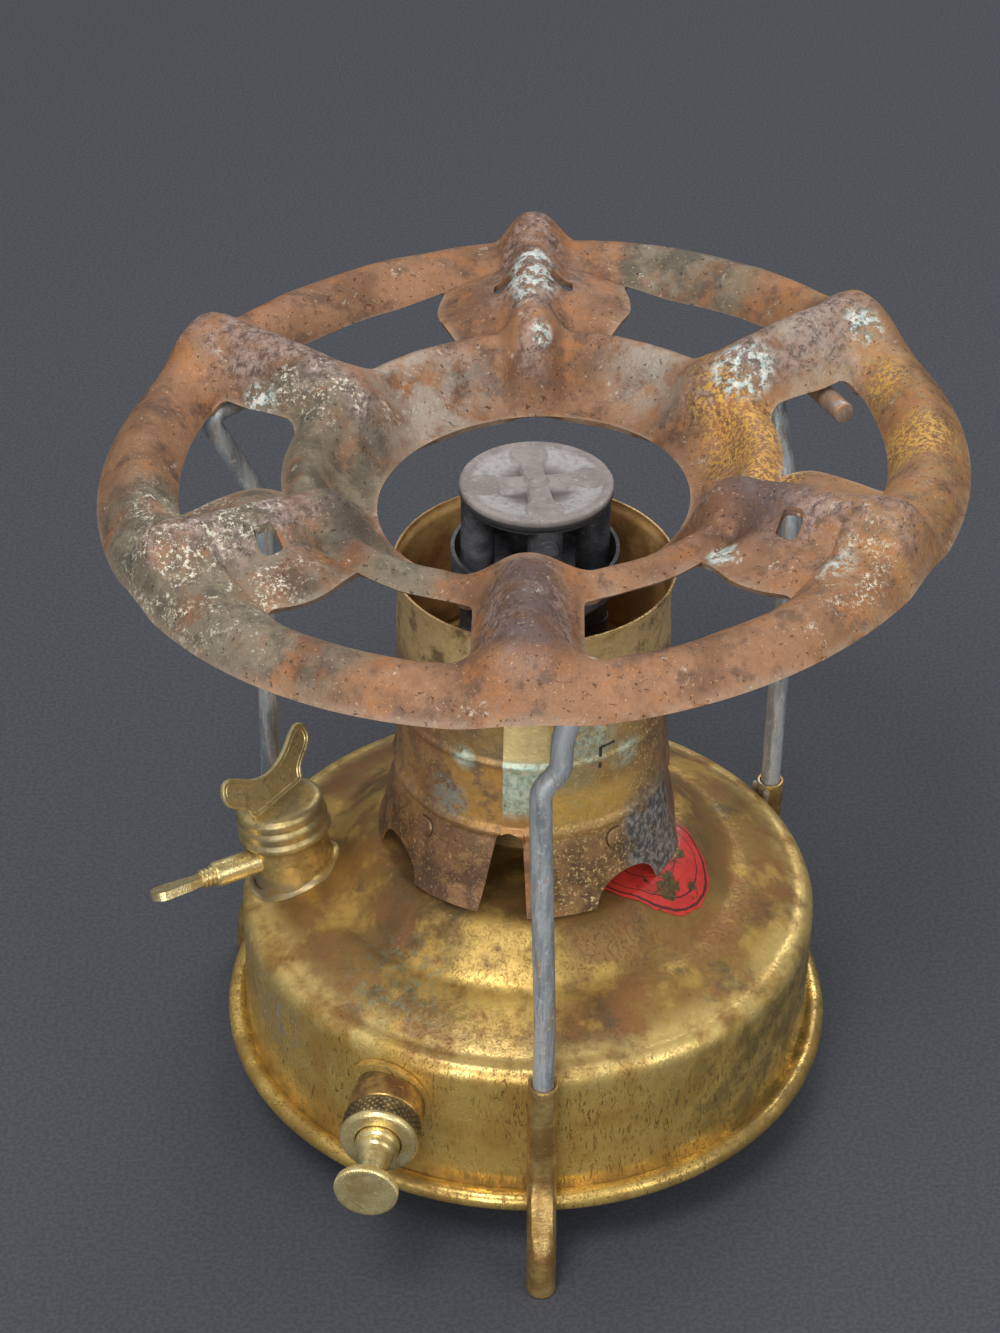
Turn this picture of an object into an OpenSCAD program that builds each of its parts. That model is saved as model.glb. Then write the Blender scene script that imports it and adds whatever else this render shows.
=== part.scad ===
// Brass kerosene pressure stove: a round tank on three legs, a hand pump in its wall,
// a burner with its windshield on the dome, and a loose pressed steel ring for the pan.
// The origin is on the tank's axis at table height. The front leg stands on the -Y side.

/* [Tank] */
// Outer diameter of the tank's wall
tank_d = 164; // [150:1:180]
// Height of the rim bead's centre above the table
rim_z = 22.5; // [20:0.5:28]
// Height of the shoulder above the rim bead's centre
tank_h = 44; // [42:0.5:60]
// Height of the dome's flat top above the shoulder
dome_rise = 20.4; // [16:0.2:30]
// Radius of the dome's flat top
dome_top_r = 42; // [41:0.5:46]
// Radius where the dome's inner slope ends
dome_slope_r = 60; // [56:0.5:64]
// Rise of the dome's outer zone, from the shoulder to the inner slope
dome_outer_rise = 7.5; // [4:0.5:10]
// Radius of the rounded shoulder
shoulder_r = 5.5; // [3:0.5:8]
// Thickness of the tank's sheet brass
tank_t = 0.9; // [0.7:0.1:1.4]
// Radius of the rolled rim bead's section
bead_r = 2.9; // [2.4:0.1:3.4]
// How far the rim bead stands out past the wall
bead_out = 5.5; // [5:0.1:6.5]

/* [Legs] */
// Diameter of a leg's steel rod
rod_d = 5.8; // [5:0.1:6.4]
// Outer diameter of a leg's brass socket
socket_d = 8.1; // [7.6:0.1:9]
// Clearance between a rod and its socket, on the radius
socket_fit = 0.08; // [0.05:0.01:0.2]
// Height of a socket's mouth above the table
socket_top_z = 67; // [64:0.5:76]
// Height where a socket starts to bend outwards
foot_bend_z = 37; // [34:0.5:42]
// Radius of the circle that the three feet stand on
foot_r = 96.5; // [94:0.5:104]
// Height of the middle of the front rod's joggle
joggle_z = 168; // [150:1:172]
// Sideways step of the front rod's joggle
joggle_w = 5; // [3:0.5:7]
// Height above which the front rod slopes sideways to its arm
front_slope_z = 183; // [178:0.5:188]
// Height above which the right rod slopes sideways to its arm
right_slope_z = 160; // [156:0.5:170]
// Height above which the left rod slopes sideways to its arm
left_slope_z = 166; // [160:0.5:172]
// Sideways lean of the left rod below its slope
left_lean = 2; // [0:0.2:3]
// Sideways lean of the front rod below its joggle
front_lean = 2.6; // [0:0.2:3]
// Reach of the right rod's arm past its leg, on the side that the rod slopes to
arm_out = 17.5; // [16:0.5:20]
// The same reach for the front rod, whose short arm hides under its rib
front_arm_out = 12; // [10:0.5:14]
// Reach of the front rod's arm on its other side
front_arm_back = 14; // [12:0.5:16]
// The same reach for the left rod, whose bend lies farther out
left_arm_out = 11.5; // [8:0.5:12]
// Reach of a rod's arm past its leg, on the other side
arm_back = 25.5; // [18:0.5:27]
// Distance from the tank's axis to the free end of a rod's arm
arm_end_r = 80.5; // [79.5:0.5:83]
// Distance from the tank's axis to the bend of the left rod's arm
left_bend_r = 94.4; // [92:0.2:96]

/* [Pan ring] */
// Outer diameter of the pan ring
ring_d = 226.4; // [216:0.5:236]
// Diameter of the hole in the middle of the pan ring
ring_hole_d = 82; // [80:0.5:88]
// Height of the pan ring's lower edge above the table, at its middle
ring_z = 205.1; // [203:0.5:212]
// Tilt of the pan ring, because its three legs are bent by hand
ring_tilt = 3.6; // [0:0.1:4]
// Direction in which the pan ring's tilt rises, from +X
ring_tilt_dir = 13; // [0:1:360]
// Turn of the pan ring against its legs
ring_turn = -3.3; // [-5:0.1:5]
// Sideways shift of the pan ring on its legs
ring_shift = -1.4; // [-1.6:0.1:0]
// Thickness of the pan ring's pressed steel
ring_t = 1.6; // [1.2:0.1:2]
// Outer radius of the pan ring's windows
window_out_r = 91.7; // [90:0.1:93]
// Inner radius of the pan ring's windows
window_in_r = 65; // [62:0.5:68]
// Height of a window's outer edge above the ring's lower edge
window_out_z = -0.3; // [-1:0.1:1]
// Height of a window's inner edge above the ring's lower edge
window_in_z = 1; // [0:0.2:2]
// Corner radius of the pan ring's windows
window_corner = 4.5; // [3:0.5:6]
// Height of the outer band's arch over its edges
band_arch = 9.3; // [7:0.1:11]
// Height of the inner band's arch over its edges
inner_arch = 4; // [2:0.5:6]
// Drop from the ring's lower edge to the edge of its middle hole
hole_drop = 11; // [8:0.5:12]
// Height of the six ribs above the ring's lower edge
rib_h = 18.5; // [15:0.5:22]
// Half the width of a plain rib's foot
plain_foot_w = 17; // [15:0.5:19]
// Half the width of an eared rib's foot
eared_foot_w = 9.5; // [8:0.5:12]
// Height of the ears beside an eared rib
ear_h = 9; // [6:0.5:11]
// Half the width of the sheet under a plain rib, between two windows
plain_half_w = 13.5; // [12:0.5:15]
// Half the width of the sheet under an eared rib, at its windows' inner edge
eared_half_w = 21.5; // [20:0.5:24]
// How much wider the sheet under an eared rib swells between its windows' edges
eared_swell = 5.5; // [4:0.5:6]
// Length of a slot in an eared rib
slot_l = 6.3; // [4:0.1:7]
// Width of a slot in an eared rib
slot_w = 4; // [2.4:0.1:4.4]
// Radius of the circle on which the slots lie
slot_r = 78; // [75:0.5:80]
// Distance of a slot from the middle of its rib
slot_side = 8; // [7:0.5:9.5]

/* [Filler] */
// Distance from the tank's axis to the filler neck
filler_r = 66.8; // [66:0.2:68]
// Direction of the filler neck from the tank's axis
filler_dir = 180; // [170:1:190]
// Lean of the filler neck
filler_lean = 11; // [0:0.5:12]
// Direction in which the filler neck leans
filler_lean_dir = 155; // [140:1:200]
// Outer diameter of the filler neck
neck_d = 23.2; // [22:0.2:24]
// Length of the filler neck that shows below the cap
neck_h = 12.2; // [11:0.2:15]
// Height of the filler cap
cap_h = 11.1; // [10:0.2:14]
// Outer diameter of the filler cap
cap_d = 25.6; // [25:0.1:27]
// Thickness of the filler cap's gasket
gasket_t = 1.6; // [1:0.1:2]
// Half the span of the cap's wing
wing_half = 18.4; // [16:0.2:20]
// Height of the wing's lobes above the cap
wing_h = 16; // [14:0.5:18]
// Thickness of the cap's wing
wing_t = 1.5; // [1.2:0.1:2]
// Direction of the wing's plate
wing_dir = 52; // [0:1:90]
// Diameter of the air release boss
air_boss_d = 7.3; // [7:0.1:8]
// Height of the air release boss above the neck's foot
air_boss_z = 7; // [6:0.2:8]
// Length of the air release boss from the neck's axis
air_boss_l = 25.4; // [22:0.2:28]
// Direction of the air release boss
air_dir = 208.4; // [200:1:220]
// Diameter of the air release screw's thread
air_screw_d = 5.4; // [5:0.1:5.6]
// Length of the air release screw's thumb paddle
paddle_l = 14.7; // [12:0.5:18]

/* [Pump] */
// Height of the pump's axis above the table
pump_z = 50.6; // [50:0.2:53]
// Distance of the pump's axis from the tank's axis
pump_off = 26.6; // [24:0.2:30]
// Turn of the pump's axis from the -Y direction
pump_turn = 10.5; // [0:0.5:15]
// Outer diameter of the pump's barrel
barrel_d = 18.6; // [17:0.2:19]
// Wall thickness of the pump's barrel
barrel_t = 0.8; // [0.6:0.1:1.2]
// Depth of the barrel's inner end past the middle of the tank
barrel_in = 30; // [26:1:48]
// Length of the pump's screwed cap
pump_cap_l = 15.4; // [14:0.2:18]
// Outer diameter of the pump's screwed cap at its knurl
pump_cap_d = 21.2; // [20:0.1:22]
// How far the pump's cap stands out from the middle of the tank's wall
pump_cap_out = 19.2; // [18.5:0.1:24]
// Diameter of the pump's rod
pump_rod_d = 4; // [3.4:0.1:5]
// Diameter of the pump's knob
knob_d = 17; // [15:0.2:19]
// How far the knob's face stands out from the pump's cap
knob_out = 18.3; // [16:0.2:22]
// Diameter of the recess in the pump's cap that takes the knob's foot
knob_seat_d = 12.4; // [11:0.2:13]

/* [Valve] */
// Outer diameter of the check valve's body behind the barrel
valve_d = 13; // [12:0.2:14]
// Length of the check valve's body behind the barrel
valve_l = 17; // [16:0.2:20]
// Diameter of the check valve's plunger
plunger_d = 7.4; // [7:0.1:7.8]
// Lift of the check valve's plunger
valve_lift = 0.8; // [0.5:0.1:0.9]
// Wire diameter of the check valve's spring
spring_wire = 0.8; // [0.6:0.1:0.9]
// Turns of the check valve's spring
spring_turns = 4; // [3:1:5]

/* [Burner] */
// Diameter of the burner's top plate
burner_d = 40.4; // [38:0.2:42]
// Height of the burner's top above the table
burner_top_z = 200; // [198:0.5:204]
// Thickness of the burner's top plate
burner_top_t = 4.4; // [3.6:0.2:6]
// Depth of the scooped sectors between the top plate's arms
scoop_depth = 1.5; // [0.8:0.1:2]
// Width of the top plate's raised arms
arm_w = 8; // [6:0.2:9]
// Turn of the top plate's cross
cross_turn = 6; // [0:1:45]
// Outer diameter of a vapour tube
tube_d = 9; // [8:0.2:9.6]
// Radius of the circle that the vapour tubes stand on
tube_r = 15.4; // [14.5:0.1:15.6]
// Length of the vapour tubes
tube_l = 42; // [38:0.5:46]
// Height of the burner's casting below the vapour tubes
burner_base_h = 16; // [14:0.5:20]
// Outer diameter of the air cup round the vapour tubes
air_cup_d = 44.8; // [43:0.2:47]
// Height of the air cup
air_cup_h = 12; // [8:0.5:14]
// Drop from the burner's top to the air cup's rim
air_cup_drop = 20; // [16:0.5:24]
// Outer diameter of the riser tube
riser_d = 13; // [12:0.5:14]
// Outer diameter of the spirit cup
spirit_cup_d = 50; // [44:0.5:54]
// Height of the spirit cup
spirit_cup_h = 9; // [7:0.5:12]

/* [Windshield] */
// Outer radius of the windshield's wall
shield_r = 37.5; // [36:0.1:38]
// Height of the windshield's rim above the table
shield_top_z = 175; // [170:0.5:178]
// Outer radius of the windshield's skirt at its foot
skirt_r = 43; // [42.5:0.1:44]
// Height of the flared skirt
skirt_h = 23; // [20:0.5:26]
// Thickness of the windshield's sheet brass
shield_t = 0.6; // [0.5:0.05:0.8]
// Radius of the windshield's two swaged beads
swage_r = 1.5; // [1:0.1:2]
// Height of the upper swaged bead above the skirt
swage_gap = 24; // [18:0.5:28]
// Width of an arch in the skirt, at its foot
arch_w = 22; // [18:0.5:24]
// Height of an arch in the skirt
arch_h = 8; // [6:0.5:11]
// Width of the tall slot at the windshield's seam, near its top
seam_slot_w = 8; // [6:0.5:9]
// Width of the tall slot at its foot
seam_slot_foot_w = 13.5; // [9:0.5:15]
// Direction of the tall slot
seam_dir = -101.5; // [-110:0.5:-90]

/* [Label] */
// Diameter of the round label on the dome
label_d = 37; // [30:0.5:38]
// Thickness of the label
label_t = 0.25; // [0.2:0.05:0.4]
// Distance of the label's centre from the tank's axis
label_r = 36; // [35:0.5:38]
// Direction of the label's centre
label_dir = -29; // [-34:1:-20]

/* [Hidden] */
$fn = 96;
e = 0.01;
seat_gap = 0.05;
run_fit = 0.06;
loose_gap = 0.3;

brass = "darkgoldenrod";
dull_brass = "peru";
steel = "slategray";
dark_iron = "dimgray";
rust = "sienna";

leg_dirs = [-90, 30, 150];
tank_r = tank_d / 2;
shoulder_z = rim_z + tank_h;
dome_z = shoulder_z + dome_rise;
outer_zone_r = tank_r - shoulder_r;
leg_r = tank_r + socket_d / 2;
rod_r = rod_d / 2;
socket_r = socket_d / 2;

// Blends from 0 to 1 with level ends.
function ease(t) = t <= 0 ? 0 : t >= 1 ? 1 : t * t * (3 - 2 * t);
// A bump of height 1 and half width w.
function bump(s, w) = abs(s) >= w ? 0 : pow(cos(90 * s / w), 2);
function mix(a, b, t) = a + (b - a) * t;
function polar(r, a, z = 0) = [r * cos(a), r * sin(a), z];

// Height of the dome's outside at radius r.
function dome_at(r) =
    r <= dome_top_r ? dome_z :
    r <= dome_slope_r
        ? mix(dome_z, shoulder_z + dome_outer_rise, ease((r - dome_top_r) / (dome_slope_r - dome_top_r))) :
    r <= outer_zone_r
        ? mix(shoulder_z + dome_outer_rise, shoulder_z, pow((r - dome_slope_r) / (outer_zone_r - dome_slope_r), 1.3)) :
    shoulder_z;

// A path whose inner corners are rounded, each over a length cut to both sides.
bend_steps = 5;
function toward(p, q, l) = p + (q - p) * l / norm(q - p);
function rounded(path, cut) = [
    path[0],
    for (i = [1:len(path) - 2]) let (
        c = min(cut, norm(path[i - 1] - path[i]) * 0.48, norm(path[i + 1] - path[i]) * 0.48),
        a = toward(path[i], path[i - 1], c),
        b = toward(path[i], path[i + 1], c))
        for (t = [0:1 / bend_steps:1]) a * pow(1 - t, 2) + path[i] * 2 * t * (1 - t) + b * pow(t, 2),
    path[len(path) - 1]
];
// A bent round rod along a path. side is a direction square to most of the path.
rod_sides = 20;
module bent_rod(path, r, side) {
    n = len(path);
    points = [for (i = [0:n - 1])
        let (
            t = path[min(i + 1, n - 1)] - path[max(i - 1, 0)],
            u = cross(t, side) / norm(cross(t, side)),
            v = cross(u, t) / norm(cross(u, t)))
        for (s = [0:rod_sides - 1]) let (a = 360 * s / rod_sides) path[i] + r * (u * cos(a) + v * sin(a))];
    sides = [for (i = [0:n - 2]) for (s = [0:rod_sides - 1])
        let (p = i * rod_sides + s, q = i * rod_sides + (s + 1) % rod_sides)
        each [[p, q, q + rod_sides], [p, q + rod_sides, p + rod_sides]]];
    last = (n - 1) * rod_sides;
    ends = [for (s = [1:rod_sides - 2]) each [[0, s + 1, s], [last, last + s, last + s + 1]]];
    polyhedron(points, concat(sides, ends), convexity = 8);
}
module ring_of(r_out, r_in, h) {
    difference() {
        cylinder(r = r_out, h = h);
        translate([0, 0, -1]) cylinder(r = r_in, h = h + 2);
    }
}

// ---- Tank ----
dome_steps = 14;
riser_bore_r = riser_d / 2 - 2;
boss_r = riser_d / 2 + 3;
boss_h = 6;
boss_seat_r = riser_d / 2;
base_lift = 5;
flange_r = tank_r + bead_out - 1.3;

function dome_outline(inset) = [
    for (i = [0:dome_steps]) let (r = mix(0, outer_zone_r, pow(i / dome_steps, 0.8))) [r, dome_at(r) - inset]
];
function shoulder_arc(inset) = [
    for (a = [75:-15:0]) [outer_zone_r + (shoulder_r - inset) * cos(a), shoulder_z - shoulder_r + (shoulder_r - inset) * sin(a)]
];

module tank_shell() {
    outside = concat(dome_outline(0), shoulder_arc(0));
    inside = concat(dome_outline(tank_t), shoulder_arc(tank_t));
    color(brass)
    difference() {
        rotate_extrude() polygon(concat(
            outside,
            [[tank_r, rim_z + tank_t], [flange_r, rim_z + tank_t], [flange_r, rim_z], [tank_r - tank_t, rim_z]],
            [for (i = [len(inside) - 1:-1:0]) inside[i]]
        ));
        cylinder(r = boss_seat_r + run_fit, h = dome_z + 1);
        pump_frame() translate([0, 0, barrel_in]) cylinder(r = barrel_d / 2 + run_fit, h = tank_d);
        filler_frame() translate([0, 0, -neck_sunk - 1]) cylinder(r = neck_d / 2 + run_fit, h = neck_h);
    }
}

// The pressed bottom, whose edge is rolled over the shell's flange to make the rim bead.
module tank_base() {
    hem_c = tank_r + bead_out - bead_r;
    turn_r = tank_r - tank_t - 0.6;
    plate_r = turn_r - 3.4;
    lip = -tank_t - seat_gap;
    color(brass)
    translate([0, 0, rim_z])
    rotate_extrude() polygon(concat(
        [
            [0, base_lift + 1.5], [plate_r * 0.6, base_lift + 1], [plate_r, base_lift], [turn_r, -seat_gap],
            [flange_r + seat_gap, -seat_gap], [flange_r + seat_gap, tank_t + seat_gap],
            [tank_r + seat_gap, tank_t + seat_gap]
        ],
        [for (a = [150:-10:-160]) [hem_c + bead_r * cos(a), bead_r * sin(a)]],
        [
            [turn_r - 0.6, lip], [plate_r - 0.5, base_lift - tank_t],
            [plate_r * 0.6, base_lift + 1 - tank_t], [0, base_lift + 1.5 - tank_t]
        ]
    ));
}

// A thin disc pressed onto the dome.
module tank_label() {
    color("firebrick")
    intersection() {
        rotate_extrude() polygon(concat(
            [for (p = dome_outline(-label_t - seat_gap)) p],
            [for (i = [dome_steps:-1:0]) dome_outline(-seat_gap)[i]]
        ));
        translate(polar(label_r, label_dir)) cylinder(d = label_d, h = dome_z + 5);
    }
}

// ---- Legs ----
foot_path = [
    [leg_r, 0, foot_bend_z + 3.5], [leg_r, 0, foot_bend_z], [mix(leg_r, foot_r, 0.62), 0, foot_bend_z - 13],
    [mix(leg_r, foot_r, 0.95), 0, foot_bend_z - 25], [foot_r, 0, -5]
];
socket_depth = socket_top_z - foot_bend_z - 3;

module leg_socket(dir) {
    color(dull_brass)
    rotate([0, 0, dir])
    difference() {
        union() {
            translate([leg_r, 0, foot_bend_z + 3]) cylinder(r = socket_r, h = socket_depth);
            bent_rod(rounded(foot_path, 6), socket_r - 0.03, [0, 1, 0]);
        }
        translate([leg_r, 0, foot_bend_z + 4]) cylinder(r = rod_r + socket_fit, h = socket_depth);
        translate([foot_r - 20, -20, -20]) cube([40, 40, 20]);
    }
}
module leg_socket_front() leg_socket(leg_dirs[0]);
module leg_socket_right() leg_socket(leg_dirs[1]);
module leg_socket_left() leg_socket(leg_dirs[2]);

// Height of the pan ring's edge plane over a point of the plan.
function ring_plane(p) =
    ring_z + tan(ring_tilt) * ((p.x - ring_shift) * cos(ring_tilt_dir) + p.y * sin(ring_tilt_dir));
// The sheet over an arm lies this far above the ring's lower edge.
arm_room = 3;
arm_drop = ring_t - window_out_z + rod_r + loose_gap - arm_room;

// A point beside a leg: out from the axis by r, sideways by t.
function beside(dir, r, t, z = 0) = [r * cos(dir) - t * sin(dir), r * sin(dir) + t * cos(dir), z];
function under_ring(dir, r, t, drop) = let (p = beside(dir, r, t)) [p.x, p.y, ring_plane(p) - drop];

module leg(dir, bends) {
    foot = foot_bend_z + 4 + seat_gap;
    straight = bends[0].z - foot;
    color(steel) {
        rotate([0, 0, dir]) translate([leg_r, 0, foot]) cylinder(r = rod_r, h = straight + 1);
        bent_rod(rounded(bends, 6), rod_r - 0.02, polar(1, dir));
    }
}
module leg_front() {
    dir = leg_dirs[0];
    leg(dir, [
        beside(dir, leg_r, 0, socket_top_z + 12), beside(dir, leg_r, 0, socket_top_z + 20),
        beside(dir, leg_r, -front_lean, joggle_z - 3),
        beside(dir, leg_r, joggle_w - front_lean, joggle_z + 3),
        beside(dir, leg_r, joggle_w - front_lean, front_slope_z),
        under_ring(dir, leg_r, front_arm_out, arm_drop + 1),
        under_ring(dir, arm_end_r + 1.5, -front_arm_back, arm_drop)
    ]);
}
module leg_right() {
    dir = leg_dirs[1];
    leg(dir, [
        beside(dir, leg_r, 0, right_slope_z - 10), beside(dir, leg_r, 0, right_slope_z),
        under_ring(dir, leg_r + 0.8, arm_out, arm_drop + 1), under_ring(dir, arm_end_r, -arm_back, arm_drop)
    ]);
}
module leg_left() {
    dir = leg_dirs[2];
    leg(dir, [
        beside(dir, leg_r, 0, socket_top_z + 12), beside(dir, leg_r, 0, socket_top_z + 20),
        beside(dir, leg_r, -left_lean, left_slope_z),
        under_ring(dir, left_bend_r, left_arm_out, arm_drop),
        under_ring(dir, arm_end_r + 1.5, -arm_back + 1.5, arm_drop)
    ]);
}

// ---- Pan ring ----
ring_r = ring_d / 2;
hole_r = ring_hole_d / 2;
rib_cols = 12;
window_cols = 3;
sector_cols = rib_cols + window_cols;
ring_cols = 6 * sector_cols;
inner_rows = 7;
window_rows = 6;
outer_rows = 7;
ring_rows = inner_rows + window_rows + outer_rows;
band_w = ring_r - window_out_r;
inner_w = window_in_r - hole_r;
window_w = window_out_r - window_in_r;

// Radius of grid row i, with rows closer together at the edges.
function close_ends(t) = (1 - cos(180 * t)) / 2;
function row_r(i) =
    i <= inner_rows ? mix(hole_r, window_in_r, i / inner_rows) :
    i <= inner_rows + window_rows ? mix(window_in_r, window_out_r, close_ends((i - inner_rows) / window_rows)) :
    mix(window_out_r, ring_r, close_ends((i - inner_rows - window_rows) / outer_rows));
// Extra half width that rounds a window's corners.
function corner_fill(r) = let (d = min(r - window_in_r, window_out_r - r), f = window_corner)
    d >= f ? 0 : f - sqrt(max(0, f * f - pow(f - max(d, 0), 2)));
// Half the width of the sheet under rib k at radius r, as an angle. Even ribs are plain, odd ones have ears.
function rib_half(k, r) = let (c = min(max(r, window_in_r), window_out_r), t = (c - window_in_r) / window_w)
    asin((k % 2 == 0
        ? plain_half_w + corner_fill(c)
        : eared_half_w + eared_swell * sin(150 * t) + corner_fill(c) * t / 2) / c);
function rib_dir(k) = ring_turn + 60 * k - 90;
function col_dir(c, r) = let (k = floor(c / sector_cols), m = c % sector_cols)
    m <= rib_cols
        ? rib_dir(k) + rib_half(k, r) * (2 * m / rib_cols - 1)
        : mix(rib_dir(k) + rib_half(k, r), rib_dir(k + 1) - rib_half(k + 1, r), (m - rib_cols) / window_cols);

// Height of the bare ring at radius r, without its ribs.
function ring_base(r) =
    r >= window_out_r ? let (t = (r - window_out_r) / band_w)
        mix(window_out_z, 0, t) + band_arch * pow(max(0, sin(180 * t)), 0.75) :
    r >= window_in_r ? mix(window_in_z, window_out_z, (r - window_in_r) / window_w) :
    let (t = (window_in_r - r) / inner_w)
        window_in_z + inner_arch * sin(180 * min(1, t / 0.55)) - (window_in_z + hole_drop) * ease((t - 0.2) / 0.8);
// A rib's crest from the hole to the outer edge: share of the way, then share of the rib's height.
plain_line = [
    [0, -hole_drop / rib_h], [0.07, -0.22], [0.125, 0.27], [0.21, 0.6], [0.35, 0.81], [0.54, 0.95],
    [0.79, 1], [0.87, 0.97], [0.93, 0.76], [0.97, 0.38], [1, 0]
];
eared_line = [
    [0, -hole_drop / rib_h], [0.07, -0.22], [0.125, 0.22], [0.19, 0.6], [0.26, 0.73], [0.4, 0.78],
    [0.51, 0.84], [0.68, 0.92], [0.82, 1], [0.89, 1], [0.94, 0.76], [0.975, 0.38], [1, 0]
];
function crest(line, r) = rib_h * lookup((r - hole_r) / (ring_r - hole_r), line);
function ear(r, s) = ear_h * bump(s, eared_half_w + 18)
    * ease((r - window_in_r + 3) / 12) * ease((window_out_r + 10 - r) / 12);
function rise_over(base, top, b) = base + max(0, top - base) * b;
function ring_at(r, a) = let (
        k = round((a - rib_dir(0)) / 60),
        d = a - rib_dir(0) - 60 * k,
        s = r * sin(d),
        base = ring_base(r))
    abs(k) % 2 == 0
        ? rise_over(base, crest(plain_line, r), bump(s, plain_foot_w + 1.5 * ease((r - 80) / 12)))
        : rise_over(base + ear(r, s), crest(eared_line, r), bump(s, eared_foot_w + 2 * ease((r - 80) / 20)));
function ring_top(r, a) = polar(r, a, ring_at(r, a));
// The sheet's lower side, one thickness down along the surface's normal.
function ring_under(r, a) = let (
        h = 0.5,
        rr = min(max(r, hole_r + h), ring_r - h),
        u = ring_top(rr + h, a) - ring_top(rr - h, a),
        v = ring_top(rr, a + h) - ring_top(rr, a - h),
        n = cross(u, v))
    ring_top(r, a) - ring_t * n / norm(n);

function is_sheet(i, c) = i < 0 || i >= ring_rows ? false :
    i < inner_rows || i >= inner_rows + window_rows || ((c + ring_cols) % sector_cols) < rib_cols;
function at(i, c) = i * ring_cols + (c + ring_cols) % ring_cols;
under = (ring_rows + 1) * ring_cols;
function wall(p, q) = [[q, p, p + under], [q, p + under, q + under]];

module ring_sheet() {
    points = concat(
        [for (i = [0:ring_rows]) for (c = [0:ring_cols - 1]) ring_top(row_r(i), col_dir(c, row_r(i)))],
        [for (i = [0:ring_rows]) for (c = [0:ring_cols - 1]) ring_under(row_r(i), col_dir(c, row_r(i)))]
    );
    faces = [
        for (i = [0:ring_rows - 1]) for (c = [0:ring_cols - 1]) if (is_sheet(i, c))
            let (p = at(i, c), q = at(i, c + 1), s = at(i + 1, c + 1), t = at(i + 1, c))
            each concat(
                [[p, q, s], [p, s, t]],
                [[p + under, s + under, q + under], [p + under, t + under, s + under]],
                is_sheet(i - 1, c) ? [] : wall(p, q),
                is_sheet(i, c + 1) ? [] : wall(q, s),
                is_sheet(i + 1, c) ? [] : wall(s, t),
                is_sheet(i, c - 1) ? [] : wall(t, p)
            )
    ];
    polyhedron(points, faces, convexity = 6);
}
module ring_frame() {
    translate([ring_shift, 0, ring_z])
    rotate([0, 0, ring_tilt_dir]) rotate([0, -ring_tilt, 0]) rotate([0, 0, -ring_tilt_dir])
    children();
}
module slot_cut() {
    half = (slot_l - slot_w) / 2;
    translate([-slot_w / 2, -half, 0]) cube([slot_w, 2 * half, rib_h + 2]);
    for (end = [-1, 1]) translate([0, end * half, 0]) cylinder(d = slot_w, h = rib_h + 2, $fn = 20);
}
module pan_ring() {
    color(rust)
    ring_frame()
    difference() {
        ring_sheet();
        for (k = [1:2:5]) for (side = [-1, 1])
            rotate([0, 0, rib_dir(k)]) translate([slot_r, side * slot_side, -1]) slot_cut();
    }
}

// ---- Filler ----
neck_sunk = 5;
neck_bore_r = neck_d / 2 - 2;
neck_thread_r = neck_d / 2 - 0.6;
neck_mouth = neck_h + 6.5;
cap_r = cap_d / 2;
cap_foot = neck_h + 0.2;
cap_top = cap_foot + cap_h;
foot_z = dome_at(filler_r);

module filler_spot() {
    translate(polar(filler_r, filler_dir, foot_z)) children();
}
module filler_frame() {
    filler_spot()
    rotate([0, 0, filler_lean_dir]) rotate([0, filler_lean, 0]) rotate([0, 0, -filler_lean_dir])
    children();
}
module air_frame() {
    filler_spot() translate([0, 0, air_boss_z]) rotate([0, 0, air_dir]) rotate([0, 90, 0]) children();
}

module filler_neck() {
    color(dull_brass)
    difference() {
        union() {
            filler_frame() {
                translate([0, 0, -neck_sunk]) cylinder(r = neck_d / 2, h = neck_sunk + neck_h);
                cylinder(r = neck_thread_r, h = neck_mouth);
            }
            air_frame() cylinder(d = air_boss_d, h = air_boss_l);
        }
        filler_frame() translate([0, 0, -neck_sunk - 1]) cylinder(r = neck_bore_r, h = neck_mouth + neck_sunk + 2);
        air_frame() cylinder(d = air_screw_d - 2, h = air_boss_l + 1);
        air_frame() translate([0, 0, air_screw_in]) cylinder(r = air_screw_d / 2 + run_fit, h = air_boss_l);
    }
}
module filler_gasket() {
    color("saddlebrown")
    filler_frame() translate([0, 0, neck_mouth + seat_gap])
        ring_of(neck_thread_r - 0.4, neck_bore_r - 2, gasket_t);
}
module filler_cap() {
    lip = 0.45;
    color(dull_brass)
    filler_frame()
    difference() {
        rotate_extrude() polygon([
            [0, cap_foot], [cap_r - 0.3, cap_foot], [cap_r + lip, cap_foot + 0.8], [cap_r + lip, cap_foot + 2.2],
            [cap_r - 0.4, cap_foot + 3.1], [cap_r, cap_foot + 4], [cap_r + 0.2, cap_foot + 5.2],
            [cap_r, cap_foot + 6.4], [cap_r - 0.5, cap_foot + 7], [cap_r - 0.2, cap_foot + 7.8],
            [cap_r - 0.2, cap_top - 1.6], [cap_r - 1.2, cap_top - 0.3], [cap_r - 2, cap_top], [0, cap_top]
        ]);
        translate([0, 0, cap_foot - 1]) cylinder(r = neck_thread_r + run_fit, h = neck_mouth + gasket_t + 2 * seat_gap - cap_foot + 1);
        translate([0, 0, cap_top]) rotate([0, 0, wing_dir])
            translate([-wing_foot, -wing_t / 2 - seat_gap, -wing_sunk]) cube([2 * wing_foot, wing_t + 2 * seat_gap, 5]);
    }
}

wing_foot = cap_r - 2.4;
wing_sunk = 0.8;
wing_back = 8;
lobe_r = 3.7;

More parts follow.
